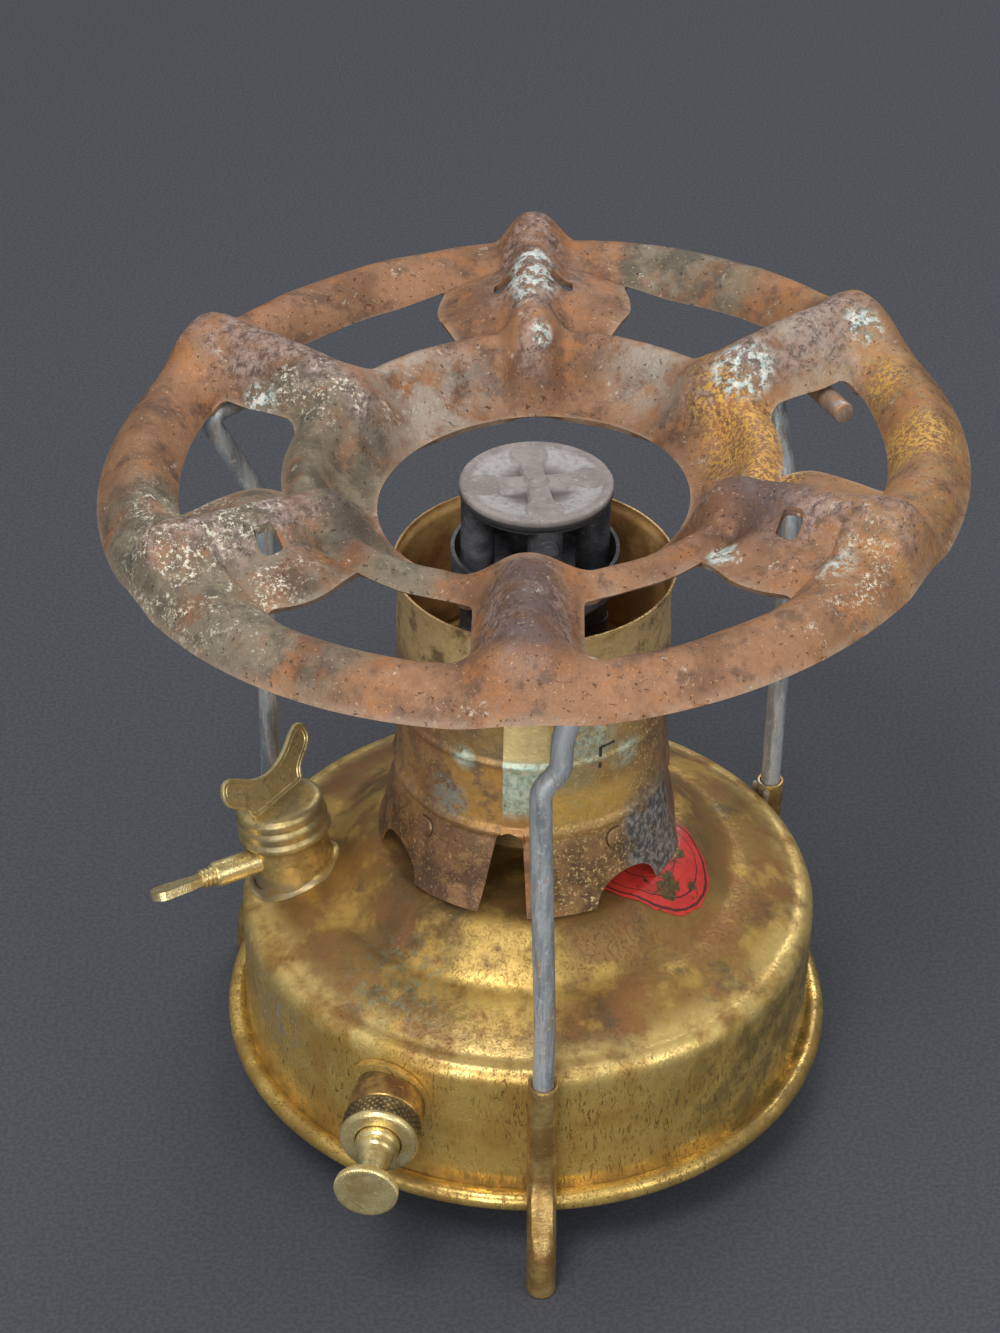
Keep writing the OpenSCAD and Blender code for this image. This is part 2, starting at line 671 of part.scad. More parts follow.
// The wing's plate: two raised lobes over a straight foot, with a low saddle between them.
module wing_outline() {
    difference() {
        union() {
            polygon([
                [-wing_foot + 0.5, 0], [wing_foot - 0.5, 0], [wing_foot, wing_h * 0.16],
                [wing_half - 1.6, wing_h * 0.52], [wing_half - 2.4, wing_h - 0.5],
                [-wing_half + 2.4, wing_h - 0.5], [-wing_half + 1.6, wing_h * 0.52], [-wing_foot, wing_h * 0.16]
            ]);
            for (side = [-1, 1]) translate([side * (wing_half - lobe_r), wing_h - lobe_r]) circle(lobe_r);
        }
        translate([0, wing_h + 31.6]) circle(r = 34.6, $fn = 160);
    }
}
module filler_wing() {
    color(dull_brass)
    filler_frame() translate([0, 0, cap_top]) rotate([0, 0, wing_dir]) {
        translate([-wing_foot + 0.2, -wing_t / 2, -wing_sunk + seat_gap]) cube([2 * wing_foot - 0.4, wing_t, wing_sunk + 0.3]);
        rotate([90 - wing_back, 0, 0]) translate([0, 0, -wing_t / 2]) linear_extrude(wing_t) wing_outline();
    }
}

air_screw_in = 15;
air_tip_l = 1.5;
paddle_w = 8;
paddle_t = 2.4;
paddle_roll = 25;

module air_screw() {
    neck_l = 4;
    color(dull_brass)
    air_frame() {
        translate([0, 0, air_screw_in + 0.2]) cylinder(r1 = 0.8, r2 = air_screw_d / 2 - 0.3, h = air_tip_l);
        translate([0, 0, air_screw_in + 0.2 + air_tip_l]) cylinder(d = air_screw_d, h = air_boss_l - air_screw_in - air_tip_l);
        for (i = [0:2]) translate([0, 0, air_boss_l + 0.2 + i * 1.3]) {
            cylinder(r = air_screw_d / 2 - 0.5, h = 1.3);
            cylinder(r = air_screw_d / 2, h = 0.8);
        }
        rotate([0, 0, paddle_roll]) translate([0, 0, air_boss_l + neck_l])
        intersection() {
            translate([-paddle_t / 2, -paddle_w / 2, 0]) cube([paddle_t, paddle_w, paddle_l]);
            union() {
                translate([0, 0, paddle_l - paddle_w / 2]) rotate([0, 90, 0]) cylinder(d = paddle_w, h = paddle_t, center = true);
                rotate([-90, 0, 90]) linear_extrude(paddle_t, center = true) polygon([
                    [-2.2, e], [2.2, e], [3.2, -4], [paddle_w / 2, -paddle_l + paddle_w / 2],
                    [-paddle_w / 2, -paddle_l + paddle_w / 2], [-3.2, -4]
                ]);
            }
        }
    }
}

// ---- Pump ----
barrel_r = barrel_d / 2;
barrel_bore = barrel_r - barrel_t;
wall_at = sqrt(pow(tank_r, 2) - pow(pump_off, 2));
pump_face = wall_at + pump_cap_out;
knob_face = pump_face + knob_out;
barrel_out = pump_face - 6.6;
pump_floor = 2.2;
knob_seat = 4.4;
collar_r = barrel_r + 2.1;
collar_t = 2.2;
rod_r_pump = pump_rod_d / 2;
knob_t = 2.4;
knob_foot_r = knob_seat_d / 2 - 0.3;
piston_at = -barrel_in + 5;
leather_l = 6;
washer_t = 1.2;
nut_h = 2.6;

// The pump's axis: +Z points out of the tank, with 0 nearest to the tank's axis.
module pump_frame() {
    rotate([0, 0, -pump_turn]) translate([-pump_off, 0, pump_z]) rotate([90, 0, 0]) children();
}

module pump_collar() {
    color(brass)
    difference() {
        intersection() {
            union() {
                pump_frame() translate([0, 0, barrel_in]) cylinder(r = collar_r, h = 80);
            }
            cylinder(r = tank_r + collar_t, h = shoulder_z + 10);
        }
        cylinder(r = tank_r + seat_gap, h = shoulder_z + 10);
        pump_frame() cylinder(r = barrel_r + run_fit, h = 120);
        pump_frame() translate([0, 0, pump_face - pump_cap_l - loose_gap]) cylinder(r = collar_r + 1, h = 20);
    }
}
module pump_barrel() {
    color(dull_brass)
    pump_frame() translate([0, 0, -barrel_in]) ring_of(barrel_r, barrel_bore, barrel_in + barrel_out);
}
module pump_cap() {
    cap_rr = pump_cap_d / 2;
    grooves = 40;
    foot = pump_face - pump_cap_l;
    knurl_at = pump_face - 7.4;
    color(brass)
    pump_frame()
    difference() {
        union() {
            translate([0, 0, foot]) cylinder(r = cap_rr - 0.35, h = knurl_at - foot + e);
            translate([0, 0, knurl_at]) cylinder(r = cap_rr, h = 6);
            translate([0, 0, knurl_at + 6]) cylinder(r1 = cap_rr, r2 = cap_rr - 1, h = 1.4);
        }
        translate([0, 0, foot - 1]) cylinder(r = barrel_r + run_fit, h = barrel_out + seat_gap - foot + 1);
        translate([0, 0, pump_face - knob_seat]) cylinder(d = knob_seat_d, h = knob_seat + 1);
        translate([0, 0, foot]) cylinder(r = rod_r_pump + run_fit, h = pump_cap_l + 1);
        for (i = [0:grooves - 1]) rotate([0, 0, i * 360 / grooves])
            translate([cap_rr + 0.25, 0, knurl_at + 0.4]) cylinder(r = 0.55, h = 5.2, $fn = 4);
    }
}
module pump_rod() {
    color(steel)
    pump_frame() translate([0, 0, piston_at - nut_h - 1]) cylinder(r = rod_r_pump, h = knob_face - knob_t - 1 - piston_at + nut_h + 1);
}
module pump_knob() {
    kr = knob_d / 2;
    foot = pump_face - knob_seat + seat_gap;
    step = (knob_face - knob_t - pump_face) / 5;
    color(brass)
    pump_frame()
    difference() {
        rotate_extrude() polygon([
            [0, foot], [knob_foot_r, foot], [knob_foot_r, pump_face + step * 0.4],
            [knob_foot_r - 0.7, pump_face + step * 0.6], [knob_foot_r - 0.9, pump_face + step * 1.6],
            [knob_foot_r - 1.6, pump_face + step * 1.8], [knob_foot_r - 1.9, pump_face + step * 2.8],
            [3.3, pump_face + step * 3.1], [2.9, knob_face - knob_t - step * 0.9], [3.3, knob_face - knob_t - step * 0.3],
            [4.4, knob_face - knob_t], [kr - 0.4, knob_face - knob_t], [kr, knob_face - knob_t + 0.5],
            [kr, knob_face - 0.5], [kr - 0.5, knob_face], [0, knob_face]
        ]);
        translate([0, 0, foot - 1]) cylinder(r = rod_r_pump + seat_gap, h = knob_face - knob_t - 1 + seat_gap - foot + 1);
    }
}
module pump_disc(at, r, h) {
    pump_frame() translate([0, 0, at]) ring_of(r, rod_r_pump + seat_gap, h);
}
module pump_washer_front() {
    color(brass) pump_disc(piston_at + leather_l + seat_gap, barrel_bore - 1, washer_t);
}
module pump_leather() {
    color("saddlebrown")
    pump_frame() translate([0, 0, piston_at])
    difference() {
        cylinder(r = barrel_bore - run_fit, h = leather_l);
        translate([0, 0, -1]) cylinder(r = rod_r_pump + seat_gap, h = leather_l + 2);
        translate([0, 0, -1]) cylinder(r = barrel_bore - 2, h = leather_l - 1);
    }
}
module pump_washer_back() {
    color(brass) pump_disc(piston_at + leather_l - 2 - washer_t - seat_gap, barrel_bore - 2.6, washer_t);
}
module pump_nut() {
    color(brass) pump_frame() translate([0, 0, piston_at + leather_l - 2 - washer_t - 2 * seat_gap - nut_h])
    difference() {
        cylinder(r = 3.8, h = nut_h, $fn = 6);
        translate([0, 0, -1]) cylinder(r = rod_r_pump + seat_gap, h = nut_h + 2);
    }
}

// ---- Check valve, screwed into the barrel's inner end ----
valve_front = piston_at - nut_h - 1 - 0.8;
valve_seat = valve_front - 1.4;
valve_flange = -barrel_in - 0.8;
valve_back = valve_flange - valve_l;
plunger_r = plunger_d / 2;
pip_t = 1;
plunger_l = 3.5;
stem_r = 1.4;
stem_l = 5;
plug_t = 2;
spring_r = plunger_r - spring_wire;
plunger_back = valve_seat - pip_t - seat_gap - plunger_l;
spring_gap = valve_lift + 0.1;
spring_l = plunger_back - spring_gap - valve_back - plug_t;

module valve_disc(at, r, h) {
    pump_frame() translate([0, 0, at]) cylinder(r = r, h = h);
}
module valve_washer() {
    color("gray") pump_frame() translate([0, 0, valve_flange + seat_gap / 2])
        ring_of(barrel_r, barrel_bore - 0.2, 0.8 - seat_gap);
}
module valve_body() {
    color(brass)
    difference() {
        union() {
            valve_disc(-barrel_in - 0.8, barrel_bore - 0.25, valve_front + barrel_in + 0.8);
            valve_disc(valve_flange - 2.4, barrel_r, 2.4);
            valve_disc(valve_back, valve_d / 2, valve_l - 1);
        }
        valve_disc(valve_back - 1, plunger_r + 0.2, valve_seat - valve_back + 1);
        valve_disc(valve_seat - 1, 1, valve_front - valve_seat + 2);
        pump_frame() translate([0, 0, valve_back + 5]) rotate([90, 0, 0]) cylinder(r = 1.2, h = valve_d, center = true);
    }
}
module valve_pip() {
    color("dimgray") valve_disc(valve_seat - pip_t - seat_gap / 2, plunger_r - 1, pip_t);
}
module valve_plunger() {
    color(brass) {
        valve_disc(plunger_back, plunger_r, plunger_l);
        valve_disc(plunger_back - stem_l, stem_r, stem_l + e);
    }
}

// A coil as one unbroken tube, with its rings set square to the coil's run.
coil_rings = 12;
coil_sides = 6;
module valve_spring() {
    steps = spring_turns * coil_rings;
    rise = spring_l - spring_wire;
    points = [for (i = [0:steps]) for (s = [0:coil_sides - 1])
        let (a = 360 * i / coil_rings, b = 360 * s / coil_sides, r = spring_r + spring_wire / 2 * cos(b))
        polar(r, a, rise * i / steps + spring_wire / 2 * sin(b))];
    sides = [for (i = [0:steps - 1]) for (s = [0:coil_sides - 1])
        let (p = i * coil_sides + s, q = i * coil_sides + (s + 1) % coil_sides)
        each [[p, q + coil_sides, q], [p, p + coil_sides, q + coil_sides]]];
    ends = [for (s = [1:coil_sides - 2]) each [[0, s, s + 1],
        [steps * coil_sides, steps * coil_sides + s + 1, steps * coil_sides + s]]];
    color(steel)
    pump_frame() translate([0, 0, valve_back + plug_t + spring_wire / 2 + seat_gap])
        polyhedron(points, concat(sides, ends), convexity = 6);
}
module valve_plug() {
    color(brass) difference() {
        valve_disc(valve_back, plunger_r + 0.15, plug_t);
        valve_disc(valve_back - 1, 1, plug_t + 2);
    }
}

// ---- Riser and burner ----
tube_dirs = [for (i = [0:3]) cross_turn - 90 + 90 * i];
top_under = burner_top_z - burner_top_t;
tube_foot = top_under + 1 - tube_l;
base_foot = tube_foot - burner_base_h + 6;
washer_h = 1.2;
riser_top = base_foot - washer_h - 2 * seat_gap;
cup_rim = burner_top_z - air_cup_drop;
cup_foot = cup_rim - air_cup_h;
tube_rr = tube_d / 2;
hub_r = riser_d / 2 + 2.5;
jet_r = 2.6;
hub_top = tube_foot + 3;

module riser_boss() {
    color(brass)
    difference() {
        union() {
            translate([0, 0, dome_z + seat_gap]) cylinder(r = boss_r, h = boss_h);
            translate([0, 0, dome_z - 4]) cylinder(r = boss_seat_r, h = 5);
        }
        translate([0, 0, dome_z - 5]) cylinder(r = riser_bore_r, h = boss_h + 10);
        translate([0, 0, dome_z + 1]) cylinder(r = riser_d / 2 - 1 + run_fit, h = boss_h + 1);
    }
}
module riser_tube() {
    foot = dome_z + 1 + seat_gap;
    color(dull_brass)
    difference() {
        union() {
            translate([0, 0, foot]) cylinder(r = riser_d / 2 - 1, h = riser_top - foot);
            translate([0, 0, cup_z + spirit_cup_h]) cylinder(r = riser_d / 2, h = riser_top - cup_z - spirit_cup_h);
        }
        translate([0, 0, foot - 1]) cylinder(r = riser_bore_r - 1, h = riser_top);
    }
}
cup_z = dome_z + boss_h + 2 * seat_gap;
module spirit_cup() {
    cup_r = spirit_cup_d / 2;
    t = 0.8;
    color(brass)
    translate([0, 0, cup_z])
    rotate_extrude() polygon([
        [riser_d / 2 - 1 + run_fit, 0], [cup_r - 4, 0], [cup_r, 4], [cup_r, spirit_cup_h],
        [cup_r - t, spirit_cup_h], [cup_r - t, 4.4], [cup_r - 4.4, t], [riser_d / 2 + 1, t],
        [riser_d / 2 + 1, spirit_cup_h - seat_gap], [riser_d / 2 - 1 + run_fit, spirit_cup_h - seat_gap]
    ]);
}
module burner_washer() {
    color("gray") translate([0, 0, riser_top + seat_gap]) ring_of(riser_d / 2, riser_bore_r, washer_h);
}

// The lower casting: a hub over the riser, with an arm out to each vapour tube.
module burner_base() {
    color(dark_iron)
    difference() {
        union() {
            translate([0, 0, base_foot]) cylinder(r = hub_r, h = hub_top - base_foot);
            translate([0, 0, base_foot + 2]) cylinder(r = hub_r + 2, h = 6, $fn = 6);
            for (a = tube_dirs) rotate([0, 0, a]) {
                translate([5, 0, tube_foot - 3]) rotate([0, 90, 0]) cylinder(r = tube_rr - 1, h = tube_r - 5);
                translate([tube_r, 0, tube_foot - 7.5]) cylinder(r1 = tube_rr - 1.5, r2 = tube_rr + 0.4, h = 2.5);
                translate([tube_r, 0, tube_foot - 5]) cylinder(r = tube_rr + 0.4, h = 7);
            }
        }
        translate([0, 0, base_foot - 1]) cylinder(r = riser_bore_r - 0.5, h = burner_base_h - 6);
        for (a = tube_dirs) rotate([0, 0, a]) translate([tube_r, 0, tube_foot]) cylinder(r = tube_rr + seat_gap, h = 20);
        translate([0, 0, hub_top - 2]) cylinder(r = jet_r + seat_gap, h = 3);
    }
}
module burner_jet() {
    color(brass)
    difference() {
        union() {
            translate([0, 0, hub_top - 2 + seat_gap]) cylinder(r = jet_r, h = 3.5);
            translate([0, 0, hub_top + seat_gap]) cylinder(r = jet_r + 1.2, h = 2.4, $fn = 6);
            translate([0, 0, hub_top + 1.5]) cylinder(r1 = jet_r, r2 = 1.2, h = 5);
        }
        translate([0, 0, hub_top - 3]) cylinder(r = 0.4, h = 12);
    }
}
module vapour_tube(i) {
    color(dark_iron)
    rotate([0, 0, tube_dirs[i]]) translate([tube_r, 0, tube_foot + seat_gap])
        ring_of(tube_rr, tube_rr - 1.4, tube_l - 2 * seat_gap);
}
module vapour_tube_front() vapour_tube(0);
module vapour_tube_right() vapour_tube(1);
module vapour_tube_back() vapour_tube(2);
module vapour_tube_left() vapour_tube(3);

// The cup that steadies the air round the flame. The vapour tubes pass through its floor.
module air_cup() {
    cr = air_cup_d / 2;
    t = 1;
    color(dark_iron)
    difference() {
        rotate_extrude() polygon([
            [tube_r - tube_rr + 1, cup_foot], [cr - 2, cup_foot], [cr, cup_foot + 2.5], [cr, cup_rim],
            [cr - t, cup_rim], [cr - t, cup_foot + 3], [cr - 2.4, cup_foot + t], [tube_r - tube_rr + 1, cup_foot + t]
        ]);
        for (a = tube_dirs) rotate([0, 0, a]) translate([tube_r, 0, cup_foot - 1]) cylinder(r = tube_rr + run_fit, h = air_cup_h);
    }
}

// The upper casting: a plate with a raised cross and four scooped sectors.
module burner_top() {
    br = burner_d / 2;
    rim_w = 1.6;
    color(dark_iron)
    difference() {
        union() {
            translate([0, 0, top_under]) cylinder(r = br - 1, h = 1.8);
            translate([0, 0, top_under + 1.4]) cylinder(r = br, h = burner_top_t - 1.4 - 0.4);
            translate([0, 0, burner_top_z - 0.4 - e]) cylinder(r1 = br, r2 = br - 0.6, h = 0.4 + e);
        }
        translate([0, 0, burner_top_z - scoop_depth])
        difference() {
            cylinder(r = br - rim_w, h = scoop_depth + 1);
            translate([0, 0, -1]) cylinder(r = 5.4, h = scoop_depth + 3);
            for (a = tube_dirs) rotate([0, 0, a]) {
                translate([0, -arm_w / 2 + 0.8, -1]) cube([tube_r, arm_w - 1.6, scoop_depth + 3]);
                translate([tube_r - 1, 0, -1]) cylinder(d = arm_w, h = scoop_depth + 3);
            }
        }
        for (a = tube_dirs) rotate([0, 0, a]) translate([tube_r, 0, top_under - 1]) cylinder(r = tube_rr + seat_gap, h = 2);
        translate([0, 0, top_under - 1]) cylinder(r = 1.6 + seat_gap, h = burner_top_t + 2);
    }
}
module flame_spreader() {
    drop = 9;
    color(dark_iron) {
        translate([0, 0, burner_top_z + seat_gap]) cylinder(r1 = 3.4, r2 = 2.4, h = 1.1);
        translate([0, 0, top_under - drop]) cylinder(r = 1.6, h = drop + burner_top_t + 0.5);
        translate([0, 0, top_under - drop]) cylinder(r1 = 6, r2 = 8.6, h = 2.4);
    }
}
// The screwed plug that closes the front vapour tube's cleaning hole.
module tube_plug() {
    color(dark_iron)
    rotate([0, 0, tube_dirs[0]])
    difference() {
        translate([tube_r + 3, 0, top_under - 4]) rotate([0, 90, 0]) {
            cylinder(r = 2.6, h = tube_rr - 2);
            cylinder(r = 1.7, h = tube_rr - 1.1);
        }
        translate([tube_r, 0, tube_foot]) cylinder(r = tube_rr + seat_gap, h = tube_l);
    }
}

// ---- Windshield ----
shield_foot = dome_at(skirt_r) + label_t + 0.35;
skirt_top = shield_foot + skirt_h;
swage_high = skirt_top + swage_gap;
arch_count = 6;
arch_step = 360 / (arch_count + 1);
first_arch = seam_dir + arch_step - 2;
seam_t = 0.5;
seam_lap = 14;

function shield_outline(inset) = [
    [skirt_r - inset, shield_foot], [mix(shield_r, skirt_r, 0.62) - inset, mix(shield_foot, skirt_top, 0.35)],
    [mix(shield_r, skirt_r, 0.22) - inset, mix(shield_foot, skirt_top, 0.8)], [shield_r - inset, skirt_top],
    [shield_r + swage_r * 0.85 - inset, skirt_top + swage_r * 0.7],
    [shield_r + swage_r * 0.85 - inset, skirt_top + swage_r * 1.5], [shield_r - inset, skirt_top + swage_r * 2.4],
    [shield_r - inset, swage_high - swage_r], [shield_r + swage_r * 0.5 - inset, swage_high - swage_r * 0.3],
    [shield_r + swage_r * 0.5 - inset, swage_high + swage_r * 0.3], [shield_r - inset, swage_high + swage_r],
    [shield_r - 0.7 - inset, mix(swage_high, shield_top_z, 0.7)], [shield_r - 0.7 - inset, shield_top_z - 3],
    [shield_r + 0.4 - inset, shield_top_z - 0.8], [shield_r + 0.4 - inset, shield_top_z]
];
module shield_wall(out, t) {
    a = shield_outline(-out);
    b = shield_outline(t - out);
    rotate_extrude() polygon(concat(a, [for (i = [len(b) - 1:-1:0]) b[i]]));
}
module skirt_cut(dir) {
    rotate([0, 0, dir]) translate([shield_r - 8, 0, shield_foot]) rotate([90, 0, 90]) linear_extrude(20) children();
}
module windshield() {
    color(dull_brass)
    difference() {
        union() {
            shield_wall(0, shield_t);
            // The lapped seam: a second layer over the wall, beside the tall slot.
            intersection() {
                shield_wall(seam_t, seam_t + 0.1);
                rotate([0, 0, seam_dir - 4]) linear_extrude(shield_top_z)
                    polygon([[0, 0], polar2(60, 0), polar2(60, seam_lap / 2), polar2(60, seam_lap)]);
            }
        }
        for (i = [0:arch_count - 1]) skirt_cut(first_arch + arch_step * i)
            translate([0, -0.3]) scale([arch_w / 2, arch_h + 0.3]) circle(1);
        skirt_cut(seam_dir) {
            polygon([
                [-seam_slot_foot_w / 2, -1], [seam_slot_foot_w / 2, -1],
                [seam_slot_w / 2, skirt_h + 2.4 - seam_slot_w / 2], [-seam_slot_w / 2, skirt_h + 2.4 - seam_slot_w / 2]
            ]);
            translate([0, skirt_h + 2.4 - seam_slot_w / 2]) circle(d = seam_slot_w);
        }
    }
}
function polar2(r, a) = [r * cos(a), r * sin(a)];

tank_shell();
tank_base();
tank_label();
leg_socket_front();
leg_socket_right();
leg_socket_left();
leg_front();
leg_right();
leg_left();
filler_neck();
filler_gasket();
filler_cap();
filler_wing();
air_screw();
pump_collar();
pump_barrel();
pump_cap();
pump_rod();
pump_knob();
pump_washer_front();
pump_leather();
pump_washer_back();
pump_nut();
valve_washer();
valve_body();
valve_pip();
valve_plunger();
valve_spring();
valve_plug();
riser_boss();
riser_tube();
spirit_cup();
burner_washer();
burner_base();
burner_jet();
vapour_tube_front();
vapour_tube_right();
vapour_tube_back();
vapour_tube_left();
air_cup();
burner_top();
flame_spreader();
tube_plug();
windshield();
pan_ring();
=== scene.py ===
import bpy, bmesh, math
import numpy as np
from mathutils import Matrix


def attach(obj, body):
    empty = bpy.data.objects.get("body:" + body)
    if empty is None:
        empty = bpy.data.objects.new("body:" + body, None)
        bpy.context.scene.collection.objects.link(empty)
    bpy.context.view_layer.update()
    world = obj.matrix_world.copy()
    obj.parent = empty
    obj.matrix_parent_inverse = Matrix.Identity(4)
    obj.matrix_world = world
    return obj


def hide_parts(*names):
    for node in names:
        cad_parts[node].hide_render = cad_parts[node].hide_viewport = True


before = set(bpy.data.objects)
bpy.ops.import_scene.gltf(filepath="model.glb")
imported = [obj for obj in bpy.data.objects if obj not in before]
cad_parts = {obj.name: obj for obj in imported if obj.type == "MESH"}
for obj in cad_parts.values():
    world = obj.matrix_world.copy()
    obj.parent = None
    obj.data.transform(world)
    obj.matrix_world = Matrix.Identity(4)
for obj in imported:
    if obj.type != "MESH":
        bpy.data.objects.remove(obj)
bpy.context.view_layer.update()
scene = bpy.context.scene
MM = 0.001
rad, sin, cos, pi = math.radians, math.sin, math.cos, math.pi

# ---- Camera: solved from the photograph, as its three directions and its place ----
RIGHT = (0.99921528, -0.03819208, 0.01049732)
DOWN = (-0.01372549, -0.58248151, -0.81272806)
AHEAD = (0.03715427, 0.81194621, -0.58254863)
CAMERA_AT = (-0.03884, -0.65378, 0.60967)
cam_data = bpy.data.cameras.new("camera")
cam_data.lens, cam_data.sensor_fit, cam_data.sensor_height = 79.94, "VERTICAL", 36
cam_data.clip_start, cam_data.clip_end = 0.05, 20
camera = bpy.data.objects.new("camera", cam_data)
scene.collection.objects.link(camera)
camera.matrix_world = Matrix([(RIGHT[k], -DOWN[k], -AHEAD[k], CAMERA_AT[k])
    for k in range(3)] + [(0, 0, 0, 1)])
scene.camera = camera
scene.view_settings.view_transform = "Standard"

# ---- Sizes in mm ----
TANK_R, RIM_Z, SHOULDER_Z, DOME_Z = 82.0, 22.5, 66.5, 86.9
LEG_R, ROD_R, SOCKET_R = 86.05, 2.9, 4.05
HOLE_R, RING_R, WIN_IN, WIN_OUT = 41.0, 112.75, 65.0, 91.7
RING_Z, RING_TILT, RING_DIR, RING_TURN, RING_SHIFT = 205.1, 3.6, 13.0, -3.3, -1.4
PUMP_Z, PUMP_OFF, PUMP_TURN = 50.6, 26.6, 10.5
PUMP_FACE = math.sqrt(TANK_R ** 2 - PUMP_OFF ** 2) + 19.2
KNOB_FACE = PUMP_FACE + 18.3
# The filler stands this far left of the axis, with its foot at this height.
FILLER_OUT, FILLER_FOOT = 66.8, 71.631
# The label's centre: its direction in degrees and its distance from the axis.
LABEL_DIR, LABEL_OUT = -29, 36
# The ring's sheet, its drop at the windows' outer edge, and what the rods' arms leave and take up.
RING_SHEET, WIN_DROP, RING_LOOSE, ARM_ROOM = 1.6, 0.3, 0.3, 3


def ease(t):
    """Smooth rise from 0 to 1."""
    t = np.clip(t, 0, 1)
    return t * t * (3 - 2 * t)


def bump(s, w, flat=1.0):
    """A hump of half width w, 1 in its middle."""
    return np.cos(pi / 2 * np.clip(np.abs(s) / w, 0, 1) ** flat) ** 2


def wobble(p, size, seed):
    """Smooth noise from a few summed waves, about -1 to 1."""
    rng = np.random.default_rng(seed)
    out = np.zeros(len(p))
    for k in range(14):
        d = rng.normal(size=3)
        d /= np.linalg.norm(d)
        out += np.sin((p @ d) * 2 * pi / (size * rng.uniform(0.6, 1.7)) + rng.uniform(0, 2 * pi))
    return out / 5.5


# ---- Placing ----
def rot(axis, deg):
    return Matrix.Rotation(rad(deg), 4, axis)


def shift(x, y, z):
    return Matrix.Translation((x, y, z))


AT_FILLER_FOOT = shift(-FILLER_OUT, 0, FILLER_FOOT)
FILLER = AT_FILLER_FOOT @ rot("Z", 155) @ rot("Y", 11) @ rot("Z", -155)
AIR = AT_FILLER_FOOT @ shift(0, 0, 7) @ rot("Z", 208.4) @ rot("Y", 90)
PUMP = rot("Z", -PUMP_TURN) @ shift(-PUMP_OFF, 0, PUMP_Z) @ rot("X", 90)
RING = shift(RING_SHIFT, 0, RING_Z) @ rot("Z", RING_DIR) @ rot("Y", -RING_TILT) @ rot("Z", -RING_DIR)


def moved(p, m):
    a = np.array(m)
    return p @ a[:3, :3].T + a[:3, 3]


def polar(r, a, z):
    return (r * cos(a), r * sin(a), z)


# ---- Meshes ----
made = []


def make(name, verts, faces, body, slot, material, replaces=(), at=None, sharp=35, attrs=None):
    """A mesh from points in mm, riding on a body."""
    verts = np.asarray(verts, float)
    if at is not None:
        verts = moved(verts, at)
    mesh = bpy.data.meshes.new(name)
    mesh.from_pydata((verts * MM).tolist(), [], faces)
    mesh.validate()
    bm = bmesh.new()
    bm.from_mesh(mesh)
    bmesh.ops.remove_doubles(bm, verts=bm.verts, dist=1e-6)
    bmesh.ops.recalc_face_normals(bm, faces=bm.faces)
    bm.to_mesh(mesh)
    bm.free()
    if attrs and len(mesh.vertices) == len(verts):
        for key, values in attrs.items():
            layer = mesh.attributes.new(key, "FLOAT", "POINT")
            layer.data.foreach_set("value", np.asarray(values, dtype=np.float32))
    mesh.shade_smooth()
    mesh.set_sharp_from_angle(angle=rad(sharp))
    obj = bpy.data.objects.new(name, mesh)
    scene.collection.objects.link(obj)
    mesh.materials.append(material)
    for node in replaces:
        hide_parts(node)
    made.append((obj, body))
    return obj


def grid_faces(nu, nv, wrap_u, wrap_v, keep=None):
    faces = []
    for i in range(nu if wrap_u else nu - 1):
        for j in range(nv if wrap_v else nv - 1):
            if keep is None or keep(i, j):
                a, b = (i + 1) % nu, (j + 1) % nv
                faces.append((i * nv + j, a * nv + j, a * nv + b, i * nv + b))
    return faces


def lathe(profile, segments=160, closed=True):
    """Points and faces of a profile (r, z) turned round Z. A closed profile is a loop."""
    p = np.array(profile, float)
    a = np.linspace(0, 2 * pi, segments, endpoint=False)
    pts = np.stack([np.outer(np.cos(a), p[:, 0]), np.outer(np.sin(a), p[:, 0]),
                    np.tile(p[:, 1], (segments, 1))], -1).reshape(-1, 3)
    return pts, grid_faces(segments, len(p), True, closed)


def turned(name, profile, cut, closed, segments, *look, **where):
    """A turned piece from a profile (r, z) with softened corners."""
    pts, faces = lathe(soften(profile, cut, closed), segments, closed)
    return make(name, pts, faces, *look, **where)


def prism(loop, low, high):
    """Points and faces of an upright form over a closed outline."""
    n = len(loop)
    pts = [(x, y, z) for z in (low, high) for x, y in loop]
    faces = [tuple(range(n - 1, -1, -1)), tuple(range(n, 2 * n))]
    return pts, faces + [(k, (k + 1) % n, n + (k + 1) % n, n + k) for k in range(n)]


def soften(profile, cut=0.3, closed=False):
    """Rounds a profile's corners, each over a length of cut to both sides."""
    p = [np.array(q, float) for q in profile]
    n, out = len(p), []
    for i in range(n):
        if not closed and i in (0, n - 1):
            out.append(p[i])
            continue
        a, b, c = p[i - 1], p[i], p[(i + 1) % n]
        la, lc = np.linalg.norm(a - b), np.linalg.norm(c - b)
        u = b + (a - b) * min(cut, la * 0.45) / max(la, 1e-9)
        v = b + (c - b) * min(cut, lc * 0.45) / max(lc, 1e-9)
        for t in (0, 0.33, 0.67, 1):
            out.append(u * (1 - t) ** 2 + b * 2 * t * (1 - t) + v * t * t)
    return out


def rounded(path, cut, steps=9):
    """Bends a path's corners smoothly. cut is one length, or one for each point."""
    path = [np.array(p, float) for p in path]
    out = [path[0]]
    for i in range(1, len(path) - 1):
        a, b, c = path[i - 1], path[i], path[i + 1]
        la, lc = np.linalg.norm(a - b), np.linalg.norm(c - b)
        k = min(cut if np.isscalar(cut) else cut[i], la * 0.48, lc * 0.48)
        u, v = b + (a - b) * k / la, b + (c - b) * k / lc
        for t in np.linspace(0, 1, steps):
            out.append(u * (1 - t) ** 2 + b * 2 * t * (1 - t) + v * t * t)
    out.append(path[-1])
    return out


